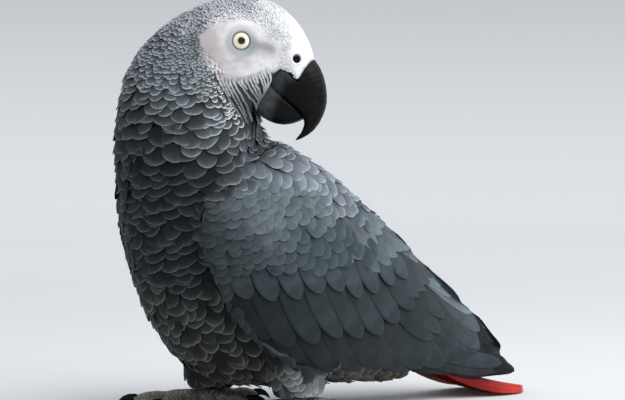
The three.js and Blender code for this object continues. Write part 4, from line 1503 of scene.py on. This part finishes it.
def found_on_wing(name, y, z):
    """Where vertices at y and z lie on a folded wing's outer surface, and the normals there, both eased."""
    wing = joined_form(*wing_nodes(name))
    body = joined_form(*FLESH, *wing_nodes(name)[1:])
    side = SIDES[name]
    inward = Vector((-side, 0, 0))
    starts = np.stack([np.full(y.shape, RAY_START * side), y - WING_CARRY[name], z], axis=-1).reshape(-1, 3)
    across = []
    for start in starts:
        hit = wing.tree.ray_cast(Vector(start), inward)[0]
        if hit is None and start[2] > TRUNK_SHOWS:
            hit = body.tree.ray_cast(Vector(start), inward)[0]
        across.append(math.nan if hit is None else hit.x)
    across = np.array(across).reshape(y.shape)
    for vane in across:
        known = np.isfinite(vane)
        vane.flat = np.interp(np.arange(vane.size), np.flatnonzero(known), vane[known])
    across = eased(across, 3)
    found = np.stack([across.ravel(), starts[:, 1], starts[:, 2]], axis=1)
    _, faces, shares = body.nearest(found)
    normals = unit(body.blend(body.normals, faces, shares)).reshape(*y.shape, 3)
    normals = np.stack([eased(part, 2).ravel() for part in np.moveaxis(normals, -1, 0)], axis=1)
    return found, unit(normals)


def wing_row_tones(row, rng):
    """The shades and edges of a row of long feathers, with the row's own tone and painted shade from front
    to rear.
    """
    colours = plumage()
    middle_name, rim_name, black = WING_TONES[row.kind]
    order = np.linspace(0, 1, row.number)
    # Each feather's own tone and painted shade, from the front of the row to its rear.
    light = np.interp(order, np.linspace(0, 1, len(row.lights)), row.lights)
    light = (light * rng.normal(1, 0.04, row.number))[:, None]
    middle_tone = (np.array(getattr(colours, middle_name)) * light)[:, None, :]
    tip_share = (smooth(0.72, 0.86, vane_rows(LONG_ROWS)) * black)[None, :, None]
    shades = middle_tone * (1 - tip_share) + np.array(colours.tip) * tip_share
    rim_tone = np.array(getattr(colours, rim_name)) * (1 - 0.9 * black)
    # The root darkens by 0.6: partly the feather's own base, partly painted shadow of the feathers over it.
    return with_fourth(shades, 0.6), with_fourth(rim_tone * light, row.rim)


def wing_row(name, row, vanes, rng, used):
    """Lays one row of long feathers over a wing, and counts them on from those already laid."""
    y, z = wing_row_plan(row, rng)
    found, normals = found_on_wing(name, y, z)
    rows = vane_rows(LONG_ROWS)
    shares = np.linspace(-1, 1, LONG_COLUMNS)
    sink = np.linspace(*row.depths, row.number)[:, None, None] + ROOT_SINK * (1 - rows[None, :, None])
    sink = sink - REAR_SINK * shares + REAR_SINK * shares**2
    sink = (sink * np.interp(y, *np.array(WING_TAPER).T)).reshape(-1)
    points = found - normals * sink[:, None]
    carry = WING_CARRY[name]
    points[:, 1] = np.minimum(points[:, 1], WING_FOOT[-1][0] - carry)
    points[:, 2] = within_wing(points[:, 1] + carry, points[:, 2])
    shades, edges = wing_row_tones(row, rng)
    cells = np.arange(used, used + row.number)
    columns, lines = cells % CELLS_ACROSS, cells // CELLS_ACROSS
    low = lines * CELL_SIZE * CELL_TALL
    patches = patch_table(columns * CELL_SIZE, low, CELL_SIZE * 0.9, CELL_SIZE * 2.2)
    vanes.add(points.reshape(*y.shape, 3), rows, shades, edges, patches, flipped=SIDES[name] > 0)
    return used + row.number


# The two pieces of a wing: the kinds of long feather in each, its slot, and how many of the wing's nodes,
# from the last, it stands for.
WING_PIECES = (
    ("flight", ("primary", "quill", "dark"), "remiges", 2),
    ("coverts", ("covert", "tertial", "pale"), "coverts", 0),
)


def wing_feathers(name):
    """The long feathers of one folded wing, in two pieces: the flight feathers and the coverts over them."""
    rng = draws(WING_DRAWS)
    for label, kinds, slot, stands_for in WING_PIECES:
        vanes = Vanes()
        used = 0
        for row in WING_ROWS:
            if row.kind in kinds:
                used = wing_row(name, row, vanes, rng, used)
        obj = vanes.finish(f"feathers_{name}_{label}")
        apply_modifier(obj, "SOLIDIFY", thickness=VANE_THICKNESS * MM, offset=-1)
        nodes = wing_nodes(name)
        dress(obj, feather_finish("long feathers", True, 0.5), slot, *nodes[len(nodes) - stands_for :])


TAIL_PAIRS = 6
TAIL_ROOT = (84.0, 33.0)  # y and z where the middle pair is rooted
TAIL_TIP = 1.9  # height of the middle pair's tips
TAIL_SAG = 5.2  # how far the shafts hang between their ends
TAIL_HALF = 9.2  # half a feather's width
TAIL_LOWEST = 0.35  # how near the floor a vane may come
TAIL_THICKNESS = 0.3  # of a tail feather


def tail_feathers():
    """Twelve broad tail feathers, the middle pair on top, laid on the floor at their tips."""
    rng = draws(TAIL_DRAWS)
    colours = plumage()
    rows = vane_rows(LONG_ROWS)
    shares = np.linspace(-1, 1, LONG_COLUMNS)
    count = 2 * TAIL_PAIRS
    rank = np.repeat(np.arange(TAIL_PAIRS)[::-1], 2) + 0.5  # the outermost pair is laid first
    side = np.tile((1, -1), TAIL_PAIRS)
    tip_y = to_bird(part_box("tail")[1])[1] - rank * 1.9 + 0.5
    root = np.stack([side * rank * 0.9, np.full(count, TAIL_ROOT[0]), TAIL_ROOT[1] - rank * 1.1], axis=1)
    tip = np.stack([side * rank * 2.5, tip_y, np.full(count, TAIL_TIP) - rank * 0.25], axis=1)
    shaft = root[:, None] + (tip - root)[:, None] * rows[None, :, None]
    sag = np.sin(math.pi * rows) * TAIL_SAG
    shaft[..., 2] -= sag[None] - rng.uniform(0, 0.2, count)[:, None]
    across = half_width(rows)[None, :, None] * shares[None, None] * TAIL_HALF
    points = np.repeat(shaft[:, :, None, :], LONG_COLUMNS, axis=2)
    points[..., 0] += across
    roof = 0.028 * across**2 * np.linspace(1.6, 0.35, LONG_ROWS)[None, :, None]  # flatter towards the tip
    points[..., 2] = np.maximum(points[..., 2] - roof, TAIL_LOWEST)
    light = rng.normal(1, 0.05, count)[:, None]
    # The root darkens fully: partly the feather's own base, partly painted shadow of the feathers over it.
    shades = with_fourth(np.array(colours.tail) * light, 1.0)
    edges = with_fourth(np.array(colours.tail_rim) * light, 0.86)
    width = 1 / count
    patches = patch_table(np.arange(count) * width, 0, width * 0.95, 1)
    vanes = Vanes()
    vanes.add(points, rows, shades, edges, patches)
    obj = vanes.finish("tail_feathers")
    apply_modifier(obj, "SOLIDIFY", thickness=TAIL_THICKNESS * MM, offset=-1)
    dress(obj, feather_finish("tail feathers", False, 0.55), "tail", "tail")


# ---------------------------------------------------------------- skin
LID_OPENING = 4.0  # radius of the opening between the lids, in mm
LID_THICKNESS = 0.32  # radius of the rim round it
NOSTRIL = (25.6, 10.4, -7.8)  # ahead, to the side and up from between the eyes
NOSTRIL_WAY = (6.0, 12.0, 3.0)  # the way it faces
NOSTRIL_CLEAR = 4.5  # nearer than this to its axis no feathers grow
SKIN_SINK = 0.46  # how much of the body's thickness the skin may sink in from one side
BARE_SINK = 0.2  # how far it sinks where it is bare, in mm, about as far as it was swollen


def nostril_offsets(points, side):
    """Depth along a nostril's axis, distance from it, in mm, and the axis."""
    mirror = np.array((1, side, 1))
    centre = on_head(np.array(NOSTRIL) * mirror)
    way = unit(np.array(NOSTRIL_WAY) * mirror) @ HEAD_AXES
    depth = (points - centre) @ way
    return depth, np.linalg.norm(points - centre - depth[:, None] * way, axis=1), way


def sculpt_face(points):
    """Moves the skin's points round the eyes and nostrils: sockets, lids, brow, lore and nostril rims."""
    points = points.copy()
    for side in SIDES.values():
        ahead, left, up = head_axes(points).T
        near = left * side > 6
        brow = 0.9 * bump(up, 8.2 - 0.035 * (ahead - 2) ** 2, 1.9) * bump(ahead, 1, 9)
        lore = 0.8 * bump(up, -2.4 - 0.25 * (ahead - 9), 2.0) * bump(ahead, 12, 5)
        cheekbone = 0.5 * bump(up, -7.9 - 0.02 * ahead**2, 1.4) * bump(ahead, 1, 8)
        points[near] += np.outer((brow - lore + cheekbone)[near] * side, HEAD_LEFT)
        depth, radius = from_eye(points, side)
        turn = np.arctan2(up, ahead)
        # Fine wrinkles go round the eye, and its lids close over the ball down to their opening.
        ripple = np.sin(radius * 5.6 + 0.7 * np.sin(4 * turn) + 0.4 * np.sin(9 * turn))
        ripple = 0.09 * ripple * smooth(4.6, 5.6, radius) * smooth(11, 7, radius)
        ball = np.sqrt(np.clip(EYE_RADIUS**2 - radius**2, 0, None))
        open_eye = radius < LID_OPENING + 0.1
        lid = math.sqrt(EYE_RADIUS**2 - LID_OPENING**2) + 0.25
        share = smooth(7.0, 4.4, radius)
        closed = np.maximum(depth * (1 - share) + lid * share, ball + 0.3)
        moved = np.where(open_eye, ball - 1.6, closed + ripple) - depth
        seen = near & (depth > 0)
        points[seen] += np.outer(moved[seen], eye_axis(side))
        depth, away, way = nostril_offsets(points, side)
        rim = 0.45 * bump(away, 2.6, 0.6) - 2.6 * smooth(1.95, 1.35, away)
        points += np.outer(rim * (np.abs(depth) < 4), way)
    return points


def skin_markings_and_shade(points, surface_values, face, cere):
    """The skin's colours and painted shade. The fourth value is how bare it is.

    Where feathers grow it has the coat's colours, darkened as painted shade for the gaps between feathers;
    bare, it has painted shade round the eyes and in the nostrils.
    """
    colours = bare()
    under = np.array(colours.under)
    own = surface_values[:, MIDDLE_TONE]
    # Painted shade: under the feathers the skin is darker than the coat, and between the rows of streaks it
    # takes the dark under-skin grey.
    base = own * (0.45 + 0.5 * own.mean(1, keepdims=True)) + under * 0.15
    base = np.where(streaked(points)[:, None], under * 0.8, base)
    bare_share = smooth(-4.0, -0.5, face)[:, None]
    ahead, left, up = head_axes(points).T
    radius = np.where(left > 0, *(from_eye(points, side)[1] for side in SIDES.values()))
    skin = np.repeat(np.array(colours.face)[None], len(points), axis=0)
    pink = 0.75 * smooth(-5, -16, ahead + 0.4 * up) + 0.25 * bump(radius, 12, 4)
    skin = tinted(skin, colours.blush, np.clip(pink, 0, 1))
    lore = bump(up, -2.6 - 0.26 * (ahead - 9), 3.0) * smooth(3, 7, ahead) * smooth(19, 14, ahead)
    skin = tinted(skin, colours.lore, 0.9 * lore)
    # A ring round the eye, partly the skin's own blue-grey and partly painted shade of the socket: wider
    # below, stronger ahead.
    wide = 7.9 - 1.2 * np.sin(np.arctan2(up, ahead))
    ring = smooth(wide + 2.0, wide - 2.2, radius)
    skin = tinted(skin, colours.ring, ring * (0.5 + 0.3 * smooth(-5, 5, ahead)))
    skin = tinted(skin, colours.lid, 0.5 * smooth(4.9, 4.3, radius))
    painted = base * (1 - bare_share) + skin * bare_share
    painted = tinted(painted, colours.cere, smooth(-1.5, 0.5, cere))
    # Painted shade darkens the hollow of each nostril.
    for side in SIDES.values():
        depth, away, _ = nostril_offsets(points, side)
        painted = tinted(painted, colours.nostril, smooth(2.1, 1.75, away) * (np.abs(depth) < 7))
    return with_fourth(painted, bare_share * smooth(7.5, 10, radius)[:, None])


def refine(obj, cuts, chosen):
    """Subdivides the faces of an object whose centres are chosen, given in the bird's millimetres."""
    shape = bmesh.new()
    shape.from_mesh(obj.data)
    shape.faces.ensure_lookup_table()
    centres = to_bird(np.array([tuple(face.calc_center_median()) for face in shape.faces]))
    picked = [shape.faces[i] for i in np.nonzero(chosen(centres))[0].tolist()]
    edges = list({edge for face in picked for edge in face.edges})
    bmesh.ops.subdivide_edges(shape, edges=edges, cuts=cuts, use_grid_fill=True)
    shape.to_mesh(obj.data)
    shape.free()


def near_face(points):
    """Places on the bare face or the cere, with a little round them."""
    return (face_edge(points) > -3.0) | ((past_cere(points) > -2.5) & (head_axes(points)[:, 2] > -24))


def skin():
    """One skin for all the flesh, inside its outline by the depth of the coat."""
    surface = form()
    obj = grown_copy("skin", FLESH + ["eye_" + name for name in SIDES], build().skin_grain, 8)
    refine(obj, 2, near_face)
    apply_modifier(obj, "SMOOTH", factor=0.5, iterations=3)
    points, normals = read_surface(obj.data)
    places, faces, shares = surface.nearest(points)
    values = surface.blend(surface.values, faces, shares)
    face, cere = face_edge(points), past_cere(points)
    covered = smooth(1.2, -1.2, np.maximum(face, cere))
    rows = surface.blend(surface.rows, faces, shares)
    depth = values[:, DEPTH] * (1 - rows) + ROWS_DEPTH * rows
    inward = -unit(surface.blend(surface.normals, faces, shares))
    depth = np.minimum(depth, SKIN_SINK * surface.thickness(places, inward))
    above = ((points - places) * normals).sum(1)
    depth = (depth + np.clip(above, 0, 2)) * covered + BARE_SINK * (1 - covered)
    depth = np.minimum(depth, SKIN_SINK * Surface(obj.data).thickness(points, -normals))
    points = sculpt_face(points - normals * depth[:, None])
    write_points(obj.data, points)
    write_colour(obj.data, "markings_and_shade", skin_markings_and_shade(points, values, face, cere))
    dress(obj, skin_finish(), "trunk", *FLESH)


# ---------------------------------------------------------------- horn, eyes and feet
def horn_piece(name, node, slot, grain, rounds, dusty_and_sheened):
    """A bill or claw from its solid, meshed finely and smoothed. One with dusting and sheen has ridges, a
    powdery patch, and a painted sheen at its base by the cere.
    """
    obj = grown_copy(name, [node], grain, rounds, swell=0.05)
    points, normals = read_surface(obj.data)
    ahead, _, up = head_axes(points).T
    dust_and_sheen = np.zeros(len(points))
    if dusty_and_sheened:
        ridge = np.sin((up * 0.9 - ahead * 0.35) * 2.6) * 0.03
        points += normals * ridge[:, None]
        # Painted sheen, in the powdery grey: the upper bill's base beside the cere.
        dust_and_sheen = smooth(-1.5, 2.5, up * 0.25 - ahead * 0.55 + 15.5)
        # A powdery patch low on the bill's base.
        dust_and_sheen = np.maximum(dust_and_sheen, 0.9 * bump(ahead, 21.5, 3.5) * bump(up, -15.0, 3.0))
    write_points(obj.data, points)
    write_share(obj.data, "dust_and_sheen", dust_and_sheen)
    dress(obj, horn_finish(), slot, node)


def just_added(name):
    """Names the object that was just added, and applies its place and turn to its mesh."""
    obj = bpy.context.object
    obj.name = name
    bpy.ops.object.transform_apply(location=True, rotation=True, scale=True)
    return obj


def eye_piece(name):
    """One eyeball, and the ring of its lids."""
    centre = Vector(EYES[name])
    outward = Vector(eye_axis(SIDES[name]))
    turn = outward.to_track_quat("Z", "Y").to_euler()
    bpy.ops.mesh.primitive_uv_sphere_add(
        segments=64, ring_count=32, radius=EYE_RADIUS * MM, location=centre, rotation=turn
    )
    dress(just_added("eyeball_" + name), eye_finish(name), "eye", "eye_" + name)
    opening = LID_OPENING
    front = centre + outward * math.sqrt(EYE_RADIUS**2 - opening**2) * MM
    bpy.ops.mesh.primitive_torus_add(
        major_segments=120, minor_segments=12, major_radius=opening * MM,
        minor_radius=LID_THICKNESS * MM, location=front, rotation=turn,
    )
    lid = just_added("eyelid_" + name)
    points, normals = read_surface(lid.data)
    around = np.arctan2(*((points - to_bird(front)) @ HEAD_AXES.T)[:, [2, 0]].T)
    points += normals * (0.07 * np.sin(around * 34))[:, None]
    write_points(lid.data, points)
    dress(lid, lid_finish(), "eye")


PLATE_LENGTH = 2.3  # from one plate on a toe to the next
PLATE_TOP = 14.0  # plates lie lower than this, on the tops of the toes
SCALE_RELIEF = 0.22  # how deep the creases between scales are
SCALE_SHARE = 22  # there is one round scale for so many vertices


def foot_piece(name):
    """The shank and foot: broad plates on the tops of the toes, small round scales elsewhere."""
    nodes = ["tarsus_" + name, "foot_" + name]
    obj = grown_copy("scaled_foot_" + name, nodes, build().fine_grain, 5, swell=0.2)
    points, normals = read_surface(obj.data)
    shank = to_bird(middle("tarsus_" + name))
    best = np.full(len(points), FAR_OFF)
    run = np.zeros(len(points))  # how far along its own toe each point is
    for toe in TOES:
        tip = to_bird(middle(f"claw_{name}_{toe}"))
        way = (tip - shank) * (1, 1, 0)
        way = way / np.linalg.norm(way)
        offset = (points - shank) * (1, 1, 0)
        ahead = offset @ way
        beside = np.linalg.norm(offset - ahead[:, None] * way, axis=1) + np.where(ahead < 0, 20, 0)
        nearer = beside < best
        best = np.where(nearer, beside, best)
        run = np.where(nearer, ahead, run)
    on_top = smooth(0.25, 0.6, normals[:, 2]) * (points[:, 2] < PLATE_TOP) > 0.5
    plates = smooth(0.1, 0.45, np.abs(np.sin(run * math.pi / PLATE_LENGTH)))
    picks = draws(FOOT_DRAWS).permutation(len(points))[: len(points) // SCALE_SHARE]
    tree = search_tree(points[picks])
    gaps = np.array([[found[2] for found in tree.find_n(place, 2)] for place in points.tolist()])
    round_scales = smooth(0.03, 0.32, gaps[:, 1] - gaps[:, 0])
    level = np.where(on_top, plates, round_scales)
    points = points + normals * (level * SCALE_RELIEF - SCALE_RELIEF)[:, None]
    points[:, 2] = np.maximum(points[:, 2], 0)
    write_points(obj.data, points)
    write_share(obj.data, "plate", level)
    dress(obj, scale_finish(), "foot", *nodes)


# ---------------------------------------------------------------- floor, light and camera
# Sizes of the stage, in metres.
FLOOR_RADIUS = 1.7
WALL_BEND = 0.45
WALL_TOP = 3.2
# Painted light: between these distances the floor pales to its far tone.
FAR_LIGHT_FROM, FAR_LIGHT_TO = 0.35, 1.6  # the floor takes its far tone between these distances
WALL_FADE = 0.6  # the height over which the wall takes its own tone
LAMP_WIDE, LAMP_TALL, LAMP_AWAY = 1.3, 1.0, 1.1
LAMP_WAY = (0.62, 0.42, 0.85)  # from the bird to the camera's right, towards the camera, and up
SKY_TONE = (0.93, 0.96, 1, 1)
AIM_HEIGHT, AIM_SHIFT = 103.3, 28  # how high the camera aims, and how far to its right, in mm


def turned_sheet(name, profile):
    """A round sheet turned from a profile of radii and heights above the floor, in metres."""
    shape = bmesh.new()
    corners = [shape.verts.new((radius, 0, ORIGIN[2] + z)) for radius, z in profile]
    for a, b in zip(corners[:-1], corners[1:]):
        shape.edges.new((a, b))
    bmesh.ops.spin(
        shape, geom=shape.verts[:] + shape.edges[:], axis=(0, 0, 1), cent=(0, 0, 0), steps=96,
        angle=2 * math.pi, use_merge=True,
    )
    bmesh.ops.remove_doubles(shape, verts=shape.verts, dist=1e-5)
    mesh = bpy.data.meshes.new(name)
    shape.to_mesh(mesh)
    shape.free()
    sheet = new_object(name, mesh)
    make_active(sheet)
    bpy.ops.object.shade_smooth()
    settings = scenery()
    paper = Finish("paper " + name, roughness=0.9, specular_ior_level=0.1)
    height = paper.add("SeparateXYZ", {0: paper.places()}).outputs[2]
    distance = paper.add("VectorMath", {0: paper.places()}, operation="LENGTH").outputs["Value"]
    # Painted light: the floor pales with distance up to the wall's foot, and the wall above it is darker.
    foot = paper.mix(paper.step(distance, FAR_LIGHT_FROM, FAR_LIGHT_TO), settings.floor, settings.painted_far_light)
    wall = paper.mix(paper.step(height, ORIGIN[2], ORIGIN[2] + WALL_FADE), foot, settings.wall)
    mesh.materials.append(paper.colour(wall).material)
    return sheet


def stage():
    """A pale floor inside a round wall that lets the sky's light through, a soft lamp, and the camera."""
    settings = scenery()
    turned_sheet("floor", [(0.0, 0.0), (FLOOR_RADIUS, 0.0)])
    profile = [
        (FLOOR_RADIUS + WALL_BEND * math.sin(angle), WALL_BEND * (1 - math.cos(angle)))
        for angle in np.linspace(0, math.pi / 2, 13)
    ]
    wall = turned_sheet("wall", profile + [(FLOOR_RADIUS + WALL_BEND, WALL_TOP)])
    wall.visible_diffuse = False
    wall.visible_glossy = False
    wall.visible_shadow = False

    right = Vector((math.cos(settings.azimuth), math.sin(settings.azimuth), 0))
    back = Vector((math.sin(settings.azimuth), -math.cos(settings.azimuth), 0))
    target = Vector(to_world((0, 0, AIM_HEIGHT))) + right * AIM_SHIFT * MM
    view = back * math.cos(settings.elevation) + Vector(UP) * math.sin(settings.elevation)
    camera = new_object("camera", bpy.data.cameras.new("camera"))
    camera.data.sensor_width = 36
    camera.data.lens = settings.lens
    camera.data.clip_start = 0.05
    camera.location = target + view * settings.distance
    camera.rotation_euler = (-view).to_track_quat("-Z", "Y").to_euler()
    bpy.context.scene.camera = camera

    lamp = new_object("window", bpy.data.lights.new("window", "AREA"))
    lamp.data.shape = "RECTANGLE"
    lamp.data.size = LAMP_WIDE
    lamp.data.size_y = LAMP_TALL
    lamp.data.energy = settings.key
    towards = (right * LAMP_WAY[0] + back * LAMP_WAY[1] + Vector(UP) * LAMP_WAY[2]).normalized()
    lamp.location = target + towards * LAMP_AWAY
    lamp.rotation_euler = (-towards).to_track_quat("-Z", "Y").to_euler()

    world = bpy.data.worlds.new("sky")
    world.use_nodes = True
    sky = world.node_tree.nodes["Background"]
    sky.inputs["Color"].default_value = SKY_TONE
    sky.inputs["Strength"].default_value = settings.sky
    bpy.context.scene.world = world
    bpy.context.scene.view_settings.view_transform = "Standard"


# ---------------------------------------------------------------- operators
class PARROT_OT_skin(bpy.types.Operator):
    """Build the skin under the feathers, with its bare face and cere"""

    bl_idname = "parrot.skin"
    bl_label = "Skin"

    def execute(self, context):
        skin()
        return {"FINISHED"}


class PARROT_OT_coat(bpy.types.Operator):
    """Lay the small feathers over the whole body"""

    bl_idname = "parrot.coat"
    bl_label = "Coat"

    def execute(self, context):
        for name in COAT:
            coat_piece(name)
        streaks()
        return {"FINISHED"}


class PARROT_OT_wings(bpy.types.Operator):
    """Lay the long feathers of both folded wings"""

    bl_idname = "parrot.wings"
    bl_label = "Wings"

    def execute(self, context):
        for name in SIDES:
            wing_feathers(name)
        return {"FINISHED"}


class PARROT_OT_tail(bpy.types.Operator):
    """Lay the tail feathers"""

    bl_idname = "parrot.tail"
    bl_label = "Tail"

    def execute(self, context):
        tail_feathers()
        return {"FINISHED"}


class PARROT_OT_bill(bpy.types.Operator):
    """Build both halves of the bill"""

    bl_idname = "parrot.bill"
    bl_label = "Bill"

    def execute(self, context):
        for part in ("upper", "lower"):
            horn_piece("horn_" + part, "bill_" + part, "bill", build().fine_grain * 0.8, 24, True)
        return {"FINISHED"}


class PARROT_OT_eyes(bpy.types.Operator):
    """Build the eyes and the rings of their lids"""

    bl_idname = "parrot.eyes"
    bl_label = "Eyes"

    def execute(self, context):
        for name in SIDES:
            eye_piece(name)
        return {"FINISHED"}


class PARROT_OT_feet(bpy.types.Operator):
    """Build the scaled feet and their claws"""

    bl_idname = "parrot.feet"
    bl_label = "Feet"

    def execute(self, context):
        for name in SIDES:
            foot_piece(name)
            for toe in TOES:
                grain = build().fine_grain * 0.7
                horn_piece(f"nail_{name}_{toe}", f"claw_{name}_{toe}", "claw", grain, 5, False)
        return {"FINISHED"}


class PARROT_OT_stage(bpy.types.Operator):
    """Set the floor, the light and the camera"""

    bl_idname = "parrot.stage"
    bl_label = "Stage"

    def execute(self, context):
        stage()
        return {"FINISHED"}


class PARROT_PT_panel(bpy.types.Panel):
    """Lists the pieces and their settings"""

    bl_label = "Grey Parrot"
    bl_idname = "PARROT_PT_panel"
    bl_space_type = "VIEW_3D"
    bl_region_type = "UI"
    bl_category = "Parrot"

    def draw(self, context):
        for operator in OPERATORS:
            self.layout.operator(operator.bl_idname)
        for group in GROUPS:
            settings = getattr(context.scene, group)
            for key in settings.__annotations__:
                self.layout.prop(settings, key)


OPERATORS = (
    PARROT_OT_skin,
    PARROT_OT_coat,
    PARROT_OT_wings,
    PARROT_OT_tail,
    PARROT_OT_bill,
    PARROT_OT_eyes,
    PARROT_OT_feet,
    PARROT_OT_stage,
)
GROUPS = {
    "parrot_plumage": PARROT_PG_plumage,
    "parrot_bare": PARROT_PG_bare,
    "parrot_build": PARROT_PG_build,
    "parrot_stage": PARROT_PG_stage,
}


def register():
    for cls in (*GROUPS.values(), *OPERATORS, PARROT_PT_panel):
        bpy.utils.register_class(cls)
    for name, group in GROUPS.items():
        setattr(bpy.types.Scene, name, bpy.props.PointerProperty(type=group))


def unregister():
    for name in GROUPS:
        delattr(bpy.types.Scene, name)
    for cls in (PARROT_PT_panel, *reversed(OPERATORS), *reversed(GROUPS.values())):
        bpy.utils.unregister_class(cls)


def main():
    register()
    bpy.ops.parrot.skin()
    bpy.ops.parrot.coat()
    bpy.ops.parrot.wings()
    bpy.ops.parrot.tail()
    bpy.ops.parrot.bill()
    bpy.ops.parrot.eyes()
    bpy.ops.parrot.feet()
    bpy.ops.parrot.stage()


if __name__ == "__main__":
    main()
